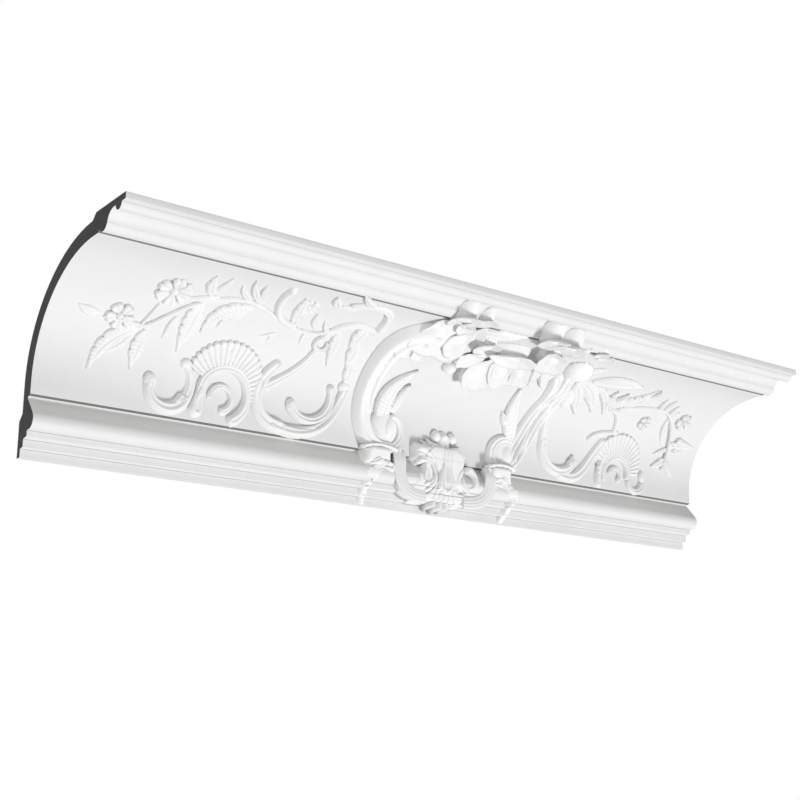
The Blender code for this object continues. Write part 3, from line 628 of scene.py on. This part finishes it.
def carve_right(c):
    """Spray, shell arch and scrolls to the right of the middle."""
    c.leaf((736, 155), (816, 167), 27, 0.06, 9.0)
    c.leaf((704, 168), (728, 188), 12, 0.06, 5.0)
    c.dome((717, 120), 11, 19, 6, 6.5)
    c.leaf((716, 150), (768, 104), 26, 0.16, 7.0)
    c.leaf((712, 146), (742, 96), 22, 0.04, 6.0)
    c.leaf((752, 146), (790, 104), 14, 0.16, 4.6)
    c.leaf((792, 112), (788, 148), 15, 0.12, 6.0)
    c.leaf((796, 123), (771, 136), 9, -0.08, 5.0)
    c.leaf((800, 127), (848, 168), 20, -0.24, 5.0)
    c.stem((796, 117), (846, 122), (896, 150), (919, 110), 6, 5, 3.4, rounded=True)
    c.stem((919, 110), (936, 92), (941, 68), (937, 42), 5, 4, 3.2, rounded=True)
    c.stem((796, 114), (814, 114), (822, 104), (826, 84), 6, 8, 3.6, rounded=True)
    c.leaf((883, 130), (879, 153), 11, 0.05, 4.0)
    c.leaf((891, 131), (896, 155), 11, -0.05, 4.0)
    c.leaf((907, 124), (911, 147), 10, 0.05, 3.8)
    c.flower((941, 119), 15, 5, 12, 4.8)
    c.leaf((936, 77), (990, 82), 15, 0.07, 4.0)
    c.flower((956, 81), 13, 5, 0, 4.8)
    c.leaf((940, 58), (915, 44), 13, 0.08, 3.8)
    c.leaf((940, 54), (961, 30), 13, 0.06, 3.8)
    c.flower((872, 104), 12, 5, 30, 4.4)
    c.leaf((910, 120), (922, 78), 10, -0.06, 3.4)
    c.scroll((742, 45), 29, 35, -35, -152, 14, 18, 6.0)
    c.leaf((754, 18), (764, 40), 12, -0.12, 6.0)
    c.stem((707, 46), (700, 80), (698, 106), (714, 136), 16, 7, 5.4, 4.6)
    c.stem((742, 10), (778, 0), (790, 28), (812, 62), 15, 16, 5.0, 4.2)
    c.stem((786, 66), (798, 80), (816, 78), (832, 82), 7, 7, 3.6, rounded=True)
    c.shell((847, 25), 25, (42, 58, 46), 0, 158, 7, 4.4)
    c.scroll((847, 25), 24, 23, 206, -214, 8, 10, 5.4)
    c.scroll((846, 21), 12, 9, 160, -200, 5, 8, 4.6)
    c.stem((823, 48), (816, 34), (813, 20), (814, 7), 9, 14, 4.6)
    c.scroll((885, 17), 13, 14, 185, 160, 9, 10, 4.8)
    c.dome((899, 26), 6, 9, 0, 4.8)


def carve_middle(c):
    """Cartouche over the middle: two arms, feet, shell with volutes, and the flowers."""
    # left arm, its volute and its leaf
    c.stem((452, 4), (405, 0), (407, 62), (411, 114), 22, 30, 13.0, 16.0)
    c.stem((411, 106), (411, 144), (420, 172), (442, 186), 29, 36, 16.0, 16.0)
    c.petal((458, 184), 42, 40, -78, 17.0, 13.0)
    c.petal((488, 188), 36, 22, -96, 15.0, 11.0)
    c.scroll((447, 28), 25, 19, -92, 160, 13, 9, 12.0, 14.0)
    c.dome((450, 30), 9, 18, -4, 13.5)
    c.leaf((443, 28), (471, 112), 25, 0.20, 10.0)
    c.leaf((454, 48), (470, 91), 15, 0.12, 11.0)
    c.petal((426, 148), 17, 12, -96, 14.0, 6.0)
    c.petal((446, 148), 16, 10, -84, 15.0, 5.0)
    c.plate((437, -8), 46, 34, 12.0, 13.5)
    c.stem((454, -18), (438, -12), (430, -24), (427, -38), 16, 14, 14.0, 10.5)
    c.stem((427, -34), (425, -43), (426, -50), (429, -60), 15, 10, 11.0, -10.0)
    c.band((468, 6), (463, -36), (470, -50), (506, -50), 19, 15, 15.0, 13.0)
    # right arm, its volute and its leaves
    c.stem((631, 0), (663, 4), (677, 42), (689, 88), 15, 18, 10.0, 12.0)
    c.stem((687, 80), (697, 108), (695, 138), (684, 160), 19, 24, 12.0, 14.0)
    c.stem((643, 18), (661, 36), (665, 62), (679, 100), 18, 17, 7.5, 8.5)
    c.stem((677, 92), (687, 112), (683, 136), (671, 152), 17, 20, 8.5, 11.0)
    c.scroll((642, 22), 23, 22, 214, -150, 16, 9, 9.0, 8.0)
    c.dome((643, 21), 11, 17, 4, 11.0)
    c.leaf((652, 38), (634, 119), 24, 0.05, 9.0)
    c.leaf((646, 60), (624, 80), 15, 0.10, 7.0)
    c.plate((631, -8), 44, 32, 12.0, 14.0)
    c.stem((620, -18), (639, -12), (652, -24), (653, -40), 16, 14, 14.0, 10.5)
    c.stem((653, -36), (655, -46), (653, -54), (649, -63), 15, 10, 11.0, -12.0)
    c.band((612, 0), (612, -36), (602, -50), (566, -50), 19, 15, 15.0, 13.0)
    # shell and volutes at the foot
    c.plate((537, -13), 66, 64, 11.0, 15.0)
    c.plate((522, -42), 80, 28, 13.5, 9.0)
    c.scroll((507, -22), 20, 8, 108, -280, 13, 6, 16.5, 15.0)
    c.scroll((573, -23), 17, 7, 72, -260, 12, 6, 16.0, 14.5)
    c.stem((540, 28), (540, 8), (539, -10), (537, -36), 22, 28, 13.0, 18.0)
    c.shell((536, -24), 10, (39, 40, 39), 204, 336, 5, 12.0)
    c.dome((528, 31), 7, 8, 0, 12.0)
    c.dome((554, 31), 7, 8, 0, 12.0)
    c.plate((509, 5), 38, 30, 12.0, 14.5)
    c.leaf((532, 12), (504, 24), 13, 0.10, 11.0)
    c.leaf((543, 4), (577, 8), 22, 0.12, 12.0)
    # flowers and leaves over the upper members
    c.petal((451, 232), 26, 17, 80, 8.0, 5.0)
    c.petal((479, 234), 19, 11, 60, 5.0, 6.0)
    c.petal((466, 218), 15, 12, -60, 9.0, 4.0)
    c.leaf((500, 206), (556, 226), 24, -0.08, 7.0)
    c.petal((522, 186), 26, 18, 128, 18.0, 8.0)
    c.petal((518, 156), 21, 15, 205, 16.0, 6.0)
    c.petal((547, 134), 30, 21, -95, 16.0, 6.0)
    c.petal((577, 145), 29, 20, -60, 16.0, 6.0)
    c.petal((606, 148), 24, 15, -70, 15.0, 6.0)
    c.petal((566, 183), 35, 17, 2, 21.0, 3.0)
    c.petal((585, 237), 26, 20, 110, 13.0, 7.0)
    c.petal((617, 230), 26, 20, 50, 13.0, 7.0)
    c.petal((620, 196), 30, 22, -60, 19.0, 5.0)
    c.dome((690, 172), 23, 19, -15, 15.0)
    c.petal((678, 228), 12, 10, 120, 5.0, 3.0)
    c.petal((694, 220), 12, 10, 40, 5.0, 3.0)
    c.leaf((634, 204), (654, 236), 22, 0.08, 9.0)
    c.leaf((644, 184), (658, 128), 26, -0.05, 12.0)
    c.leaf((624, 168), (638, 126), 18, 0.05, 11.0)
    c.leaf((532, 120), (562, 97), 16, 0.08, 7.0)
    c.dome((510, 126), 10, 9, 0, 10.0)
    c.dome((495, 144), 12, 11, 0, 11.0)


def detail_left(c):
    """Finer twigs, beads and buds of the left spray."""
    c.leaf((276, 146), (284, 172), 8, 0.05, 3.4)
    c.leaf((326, 135), (310, 154), 8, 0.08, 3.4)
    c.leaf((308, 184), (338, 187), 9, 0.10, 3.6)
    c.leaf((224, 160), (210, 194), 8, 0.08, 3.6)
    c.leaf((207, 160), (186, 182), 9, 0.10, 3.4)
    c.leaf((262, 120), (243, 111), 5.0, 0.10, 2.2)
    c.leaf((263, 120), (257, 104), 5.0, -0.10, 2.2)
    c.leaf((297, 131), (298, 110), 5.0, 0.0, 2.4)
    c.flower((276, 171), 14, 5, 10, 3.4)
    for x, s in ((288, 63), (295, 69), (302, 75), (309, 83), (315, 92)):
        c.dome((x, s), 2.6, 2.6, 0, 4.6)
    # lines along the scrolls
    c.rib(((268, 66), (266, 30), (296, 2), (346, 14)), 2.0, -1.6)
    c.rib(((346, 14), (364, 22), (374, 40), (378, 62)), 2.0, -1.6)
    c.rib(((133, 40), (134, 18), (150, 10), (168, 18)), 2.0, -1.6)
    c.rib(((168, 18), (178, 28), (180, 44), (172, 58)), 2.0, -1.6)
    c.rib(((194, 42), (192, 36), (188, 28), (187, 14)), 1.8, -1.4)


def detail_middle(c):
    """Edges, flutes and lobes of the cartouche."""
    # grounds inside the two rings and beside the shell
    c.dome((447, 28), 23, 26, 0, 10.5)
    c.dome((643, 23), 22, 23, 0, 8.0)
    c.plate((583, -37), 40, 26, 12.0, 11.0)
    c.plate((490, -38), 34, 24, 12.0, 11.0)
    c.plate((560, -46), 30, 20, 11.0, 10.0)
    # curls beside the shell's stem
    for r in (12, 19, 25):
        c.rib(((499 + 0.3 * r, -20 + r), (499 + 1.35 * r, -20 + 0.5 * r), (499 + 1.35 * r, -22 - 0.5 * r),
               (499 + 0.2 * r, -22 - r)), 2.4, -2.2)
    for r in (10, 17):
        c.rib(((573 - 0.2 * r, -22 + r), (573 - 1.2 * r, -22 + 0.5 * r), (573 - 1.2 * r, -24 - 0.5 * r),
               (573 + 0.3 * r, -24 - r)), 2.2, -1.8)
    c.settle(474, 598, 6, 28, 0.30)
    # flutes of the left arm
    c.rib(((413, 112), (410, 66), (412, 30), (444, 8)), 2.6, -2.0)
    c.rib(((420, 108), (418, 66), (420, 40), (438, 18)), 2.4, -1.8)
    c.rib(((413, 108), (413, 146), (422, 166), (450, 178)), 3.0, -2.2)
    c.rib(((451, 56), (451, 72), (456, 86), (467, 93)), 3.2, -2.6)
    # flutes of the right arm
    for k in (0, 1, 2, 3):
        c.rib(((647 + 6 * k, 22 - 5 * k), (663 + 5 * k, 44), (669 + 5 * k, 74), (678 + 4 * k, 102)),
              2.2, -1.7)
        c.rib(((678 + 4 * k, 100), (687 + 4 * k, 120), (686 + 4 * k, 136), (678 + 4 * k, 154)), 2.2, -1.6)
    # ribs of the shell's stem and its crown leaves
    for k in (-1, 0, 1):
        c.rib(((540 + 5 * k, 28), (540 + 6 * k, 8), (539 + 6 * k, -8), (538 + 8 * k, -34)), 2.2, -1.4)
    c.rib(((496, 14), (514, 16), (523, 2), (523, -22)), 2.2, -1.6)
    c.rib(((494, 6), (510, 8), (517, -4), (517, -22)), 2.2, -1.6)
    # crown of the shell and its side leaves
    c.leaf((536, 10), (512, 26), 13, 0.10, 13.4)
    c.leaf((534, 0), (500, 12), 15, 0.16, 14.2)
    c.leaf((544, 10), (566, 22), 13, -0.10, 13.4)
    c.leaf((546, 0), (576, 6), 15, -0.16, 14.2)
    for k in (-2, -1, 0, 1, 2):
        c.rib(((536 + 5 * k, -30), (536 + 6 * k, -38), (536 + 8 * k, -48), (536 + 11 * k, -62)), 2.0, -1.6)
    # feet
    for x0, d in ((434, -1), (634, 1)):
        c.rib(((x0 - 18 * d, -12), (x0 - 8 * d, -9), (x0 + 6 * d, -12), (x0 + 14 * d, -20)), 2.2, -1.6)
        c.rib(((x0 - 20 * d, -27), (x0 - 14 * d, -20), (x0 - 2 * d, -20), (x0 + 8 * d, -34)), 2.4, -2.0)
        c.rib(((x0 - 2 * d, -24), (x0 + 6 * d, -30), (x0 + 10 * d, -42), (x0 + 8 * d, -58)), 2.2, -1.8)
    c.stem((416, 2), (428, 7), (448, 7), (462, 2), 7, 7, 14.6)
    c.leaf((446, -4), (418, -17), 13, 0.15, 14.6)
    c.leaf((452, -8), (441, -21), 10, 0.10, 14.4)
    c.dome((425, -28), 7, 6, 0, 13.0)
    c.stem((611, 2), (624, 7), (640, 7), (652, 2), 7, 7, 14.8)
    c.leaf((624, -4), (650, -17), 13, -0.15, 14.8)
    c.leaf((618, -8), (629, -21), 10, -0.10, 14.4)
    c.dome((652, -28), 7, 6, 0, 13.0)
    c.rib(((456, -20), (440, -15), (432, -26), (428, -58)), 2.6, -1.6)
    c.rib(((618, -20), (637, -15), (649, -26), (650, -60)), 2.6, -1.6)


def detail_right(c):
    """Finer twigs and beads of the right spray."""
    c.leaf((911, 122), (922, 135), 9, 0.05, 3.4)
    c.leaf((938, 74), (914, 62), 9, 0.06, 3.4)
    for s in (16, 23, 30):
        c.dome((812, s), 2.6, 2.2, 0, 6.6)
    c.stem((790, 119), (808, 107), (832, 130), (852, 166), 5.0, 3.4, 5.4, rounded=True)
    c.leaf((786, 122), (808, 148), 15, -0.2, 8.5)
    c.stem((912, 118), (934, 97), (940, 72), (937, 46), 4.4, 3.6, 4.8, rounded=True)
    c.rib(((742, 160), (762, 167), (790, 171), (812, 168)), 2.4, -1.6)
    c.rib(((801, 120), (824, 116), (838, 136), (848, 166)), 2.6, -2.4)


def nodes_of(name):
    """A new material with its nodes, links and shader."""
    m = bpy.data.materials.new(name)
    m.use_nodes = True
    return m, m.node_tree.nodes, m.node_tree.links, m.node_tree.nodes["Principled BSDF"]


def add(nodes, kind, **sockets):
    """A new node with some of its sockets set; an underscore in a socket's name stands for a space."""
    node = nodes.new("ShaderNode" + kind)
    for socket, value in sockets.items():
        node.inputs[socket.replace("_", " ")].default_value = value
    return node


def ramped(nodes, links, texture, colours, places=(0.0, 1.0)):
    """A colour that runs between two over a texture."""
    ramp = nodes.new("ShaderNodeValToRGB")
    for element, colour, at in zip(ramp.color_ramp.elements, colours, places):
        element.position = at
        element.color = (*colour, 1)
    links.new(texture.outputs["Fac"], ramp.inputs["Fac"])
    return ramp.outputs["Color"]


def bumped(nodes, links, shader, height, strength, distance):
    """Fine grain in the shader's normal."""
    bump = add(nodes, "Bump", Strength=strength, Distance=distance)
    links.new(height, bump.inputs["Height"])
    links.new(bump.outputs["Normal"], shader.inputs["Normal"])


def grey(value):
    return (value, value, value)


def cast_white(name, tint, grain=1.0, recess_shade=0.0):
    """Factory-primed hard foam: matte white with a faint mottle, roller stipple and pin-point pores. A darker
    tint makes a copy with painted shade, and a recess share paints shade into the relief's hollows.
    """
    m, nodes, links, shader = nodes_of(name)
    place = nodes.new("ShaderNodeTexCoord").outputs["Object"]
    cloud = add(nodes, "TexNoise", Scale=9.0, Detail=4.0, Roughness=0.6)
    sheen = add(nodes, "TexNoise", Scale=60.0, Detail=3.0)
    stipple = add(nodes, "TexNoise", Scale=900.0, Detail=2.0)
    pores = add(nodes, "TexVoronoi", Scale=420.0)
    for texture in (cloud, sheen, stipple, pores):
        links.new(place, texture.inputs["Vector"])
    mottle = [[t * k for t, k in zip(tint, share)] for share in ((0.975, 0.975, 0.97), (1.012, 1.012, 1.014))]
    colour = ramped(nodes, links, cloud, mottle, (0.30, 0.72))
    if recess_shade:
        # painted shade: the base colour darkens in the hollows at the foot of the forms, as the relief's own
        # heights say
        low = nodes.new("ShaderNodeAttribute")
        low.attribute_name = "hollow"
        shade = add(nodes, "MapRange", From_Min=0.12, From_Max=0.90, To_Min=1.0, To_Max=1.0 - recess_shade)
        shade_painted = nodes.new("ShaderNodeVectorMath")
        shade_painted.operation = "SCALE"
        links.new(low.outputs["Fac"], shade.inputs["Value"])
        links.new(colour, shade_painted.inputs[0])
        links.new(shade.outputs["Result"], shade_painted.inputs["Scale"])
        colour = shade_painted.outputs["Vector"]
    links.new(colour, shader.inputs["Base Color"])
    gloss = add(nodes, "MapRange", To_Min=0.52, To_Max=0.70)
    links.new(sheen.outputs["Fac"], gloss.inputs["Value"])
    links.new(gloss.outputs["Result"], shader.inputs["Roughness"])
    pin = add(nodes, "MapRange", From_Min=0.02, From_Max=0.11)
    both = nodes.new("ShaderNodeMath")
    both.operation = "MULTIPLY_ADD"
    both.inputs[1].default_value = 0.35
    links.new(pores.outputs["Distance"], pin.inputs["Value"])
    links.new(pin.outputs["Result"], both.inputs[0])
    links.new(stipple.outputs["Fac"], both.inputs[2])
    bumped(nodes, links, shader, both.outputs["Value"], 0.10 * grain, 0.0003)
    shader.inputs["Specular IOR Level"].default_value = 0.35
    return m


def sawn_section(name):
    """The sawn end, coloured near black, with fine open cells and faint saw lines in its bump."""
    m, nodes, links, shader = nodes_of(name)
    place = nodes.new("ShaderNodeTexCoord").outputs["Object"]
    cells = add(nodes, "TexVoronoi", Scale=1400.0)
    cloud = add(nodes, "TexNoise", Scale=45.0, Detail=5.0)
    saw = add(nodes, "TexWave", Scale=120.0, Distortion=1.2)
    saw.bands_direction = "DIAGONAL"
    for texture in (cells, cloud, saw):
        links.new(place, texture.inputs["Vector"])
    dark = ((0.036, 0.037, 0.039), (0.062, 0.063, 0.066))
    links.new(ramped(nodes, links, cloud, dark), shader.inputs["Base Color"])
    mix = nodes.new("ShaderNodeMath")
    mix.operation = "MULTIPLY_ADD"
    mix.inputs[1].default_value = 0.5
    links.new(saw.outputs["Fac"], mix.inputs[0])
    links.new(cells.outputs["Distance"], mix.inputs[2])
    bumped(nodes, links, shader, mix.outputs["Value"], 0.35, 0.0004)
    shader.inputs["Roughness"].default_value = 0.9
    return m


# In the order of face, back, end, and the two grey copies of the white that paint shade into the quirks and
# steps between the members
RUN_MATERIALS = (cast_white("primed_white_face", grey(0.735)),
                 cast_white("primed_white_back", (0.78, 0.775, 0.755), grain=2.2),
                 sawn_section("sawn_section"),
                 cast_white("painted_shade_quirks", grey(0.16), grain=0.5),
                 cast_white("painted_shade_steps", grey(0.42), grain=0.5))
# Lighter and darker copies of the one cast white: the lighter paints light onto the middle relief, the darker
# paints shade onto the petals and side reliefs
RELIEF_WHITE_PAINTED_LIGHT = cast_white("primed_white_relief_painted_light", grey(0.855), grain=0.7, recess_shade=0.60)
LOW_WHITE_PAINTED_SHADE = cast_white("primed_white_low_relief_painted_shade", grey(0.79), grain=0.7, recess_shade=0.65)


def split_near(pts, shade_lines):
    """The closed outline with points put in at the borders of each strip of painted shade."""
    out = []
    for i, p in enumerate(pts):
        q = pts[(i + 1) % len(pts)]
        out.append(p)
        dx, dy = q[0] - p[0], q[1] - p[1]
        a = dx * dx + dy * dy
        if a < 0.01:
            continue
        cuts = []
        for cx, cy, half, _ in shade_lines:
            fx, fy = p[0] - cx, p[1] - cy
            b, c = 2 * (fx * dx + fy * dy), fx * fx + fy * fy - half * half
            under_root = b * b - 4 * a * c
            if under_root > 0:
                root = under_root ** 0.5
                cuts += [k for k in ((-b - root) / (2 * a), (-b + root) / (2 * a)) if 0.02 < k < 0.98]
        out += [(p[0] + k * dx, p[1] + k * dy) for k in sorted(cuts)]
    return out


def moulding_run():
    """The plain run: the eased section drawn along the length, with a close station by each end."""
    outline = split_near(eased(front_profile() + back_profile(), ARRIS), SHADE_LINES)
    half, rim, bays = LENGTH / 2 * MM, 0.5 * MM, 20
    stations = [-half, rim - half] + [2 * half * i / bays - half for i in range(1, bays)] + [half - rim, half]
    bm = bmesh.new()
    rows = [[bm.verts.new((x, -p[0] * MM, CEILING_Z - p[1] * MM)) for p in outline] for x in stations]
    for a, b in zip(rows, rows[1:]):
        for i in range(len(a)):
            j = (i + 1) % len(a)
            bm.faces.new((a[i], a[j], b[j], b[i]))
    ends = [bm.faces.new(list(reversed(rows[0]))), bm.faces.new(rows[-1])]
    bmesh.ops.recalc_face_normals(bm, faces=bm.faces[:])
    for f in bm.faces:
        f.smooth = True
        c = f.calc_center_median()
        out, drop = -c.y / MM, (CEILING_Z - c.z) / MM
        # what faces the wall or the ceiling is back, as far out as the hollow reaches
        if f.normal.y > 0.05 and out < 165.0 or f.normal.z > 0.3 and out < 160.0:
            f.material_index = ON_BACK
        # faces near the lines between the members take a darker material: painted shade
        for cx, cy, half_width, shade in SHADE_LINES:
            if math.hypot(out - cx, drop - cy) < half_width:
                f.material_index = shade
    for f in ends:
        f.material_index = ON_END
        f.smooth = False
    mesh = bpy.data.meshes.new("moulding_run")
    bm.to_mesh(mesh)
    bm.free()
    mesh.set_sharp_from_angle(angle=math.radians(30))
    for m in RUN_MATERIALS:
        mesh.materials.append(m)
    return mesh_object("moulding_run", mesh)


run = moulding_run()
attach(run, "root")
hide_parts("cornice_moulding")

# Each patch has its reach along the run and up the girth, and the functions that carve it.
GRID = 0.8
PATCHES = (("relief_left", (22, 402, -3, 232), (carve_left, detail_left)),
           ("relief_middle", (378, 716, -LOWER_MEMBERS, 272), (carve_middle, detail_middle)),
           ("relief_right", (690, 992, -3, 206), (carve_right, detail_right)))
for name, reach, forms in PATCHES:
    patch = Relief(*reach, GRID)
    for form in forms:
        form(patch)
    pieces = [patch.piece(name)]
    if patch.cups:
        pieces.append(petals_piece(name.replace("relief", "petals"), patch.cups, patch.straps))
    for piece in pieces:
        # the middle relief takes the copy with painted light, the petals and side reliefs the copy with
        # painted shade
        piece.data.materials.append(RELIEF_WHITE_PAINTED_LIGHT if piece.name == "relief_middle" else LOW_WHITE_PAINTED_SHADE)
        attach(piece, "root")


FLOOR_HALF, FLOOR_Z = 6.0, -1.6


def stage_floor():
    """A plain pale floor well below the part."""
    corners = [(-1, -1), (1, -1), (1, 1), (-1, 1)]
    mesh = bpy.data.meshes.new("stage_floor")
    mesh.from_pydata([(x * FLOOR_HALF, y * FLOOR_HALF, FLOOR_Z) for x, y in corners], [], [(0, 1, 2, 3)])
    obj = mesh_object("stage_floor", mesh)
    m, nodes, links, shader = nodes_of("stage_pale")
    noise = add(nodes, "TexNoise", Scale=2.0)
    links.new(ramped(nodes, links, noise, (grey(0.90), grey(0.93))), shader.inputs["Base Color"])
    shader.inputs["Roughness"].default_value = 0.8
    mesh.materials.append(m)
    obj.visible_shadow = False


def soft_sun(name, towards, power, spread):
    """A sun that shines from the direction towards, its softness given as an angle."""
    light = bpy.data.lights.new(name, "SUN")
    light.energy = power
    light.angle = math.radians(spread)
    obj = bpy.data.objects.new(name, light)
    bpy.context.scene.collection.objects.link(obj)
    obj.location = Vector(towards) * 2
    obj.rotation_euler = (-Vector(towards)).to_track_quat("-Z", "Y").to_euler()


stage_floor()
soft_sun("key_from_below", (0.32, -0.61, -0.72), 2.25, 12)
soft_sun("side_fill", (-0.90, -0.36, -0.10), 0.66, 60)
soft_sun("top_fill", (-0.5, 0.1, 0.8), 0.44, 60)
soft_sun("back_fill", (0.1, 0.95, 0.22), 1.3, 40)

# An even white surround: dim where it lights the part, full where the camera sees it
AMBIENT = 0.35
world = bpy.data.worlds.new("studio")
bpy.context.scene.world = world
world.use_nodes = True
nodes, links = world.node_tree.nodes, world.node_tree.links
back = nodes["Background"]
back.inputs["Color"].default_value = (1, 1, 1, 1)
back.inputs["Strength"].default_value = AMBIENT
seen = add(nodes, "Background", Color=(1, 1, 1, 1), Strength=1.0)
path = nodes.new("ShaderNodeLightPath")
blend = nodes.new("ShaderNodeMixShader")
links.new(path.outputs["Is Camera Ray"], blend.inputs["Fac"])
links.new(back.outputs["Background"], blend.inputs[1])
links.new(seen.outputs["Background"], blend.inputs[2])
links.new(blend.outputs["Shader"], nodes["World Output"].inputs["Surface"])

bpy.context.scene.view_settings.view_transform = "Standard"
bpy.context.scene.view_settings.look = "None"

CAMERA_PLACE = (-1.02726, -1.35270, -0.33043)
CAMERA_FORWARD, CAMERA_UP = (0.58212, 0.77095, 0.25841), (-0.15640, -0.20570, 0.96604)
LENS, SENSOR = 62.58, 36.0
camera_data = bpy.data.cameras.new("photo_camera")
camera_data.sensor_width = SENSOR
camera_data.lens = LENS
camera_data.clip_start = 0.05
camera_data.clip_end = 60.0
camera = bpy.data.objects.new("photo_camera", camera_data)
bpy.context.scene.collection.objects.link(camera)
forward = Vector(CAMERA_FORWARD).normalized()
right = forward.cross(Vector(CAMERA_UP)).normalized()
up = right.cross(forward)
turned = Matrix((right, up, -forward)).transposed().to_4x4()
camera.matrix_world = Matrix.Translation(CAMERA_PLACE) @ turned
bpy.context.scene.camera = camera
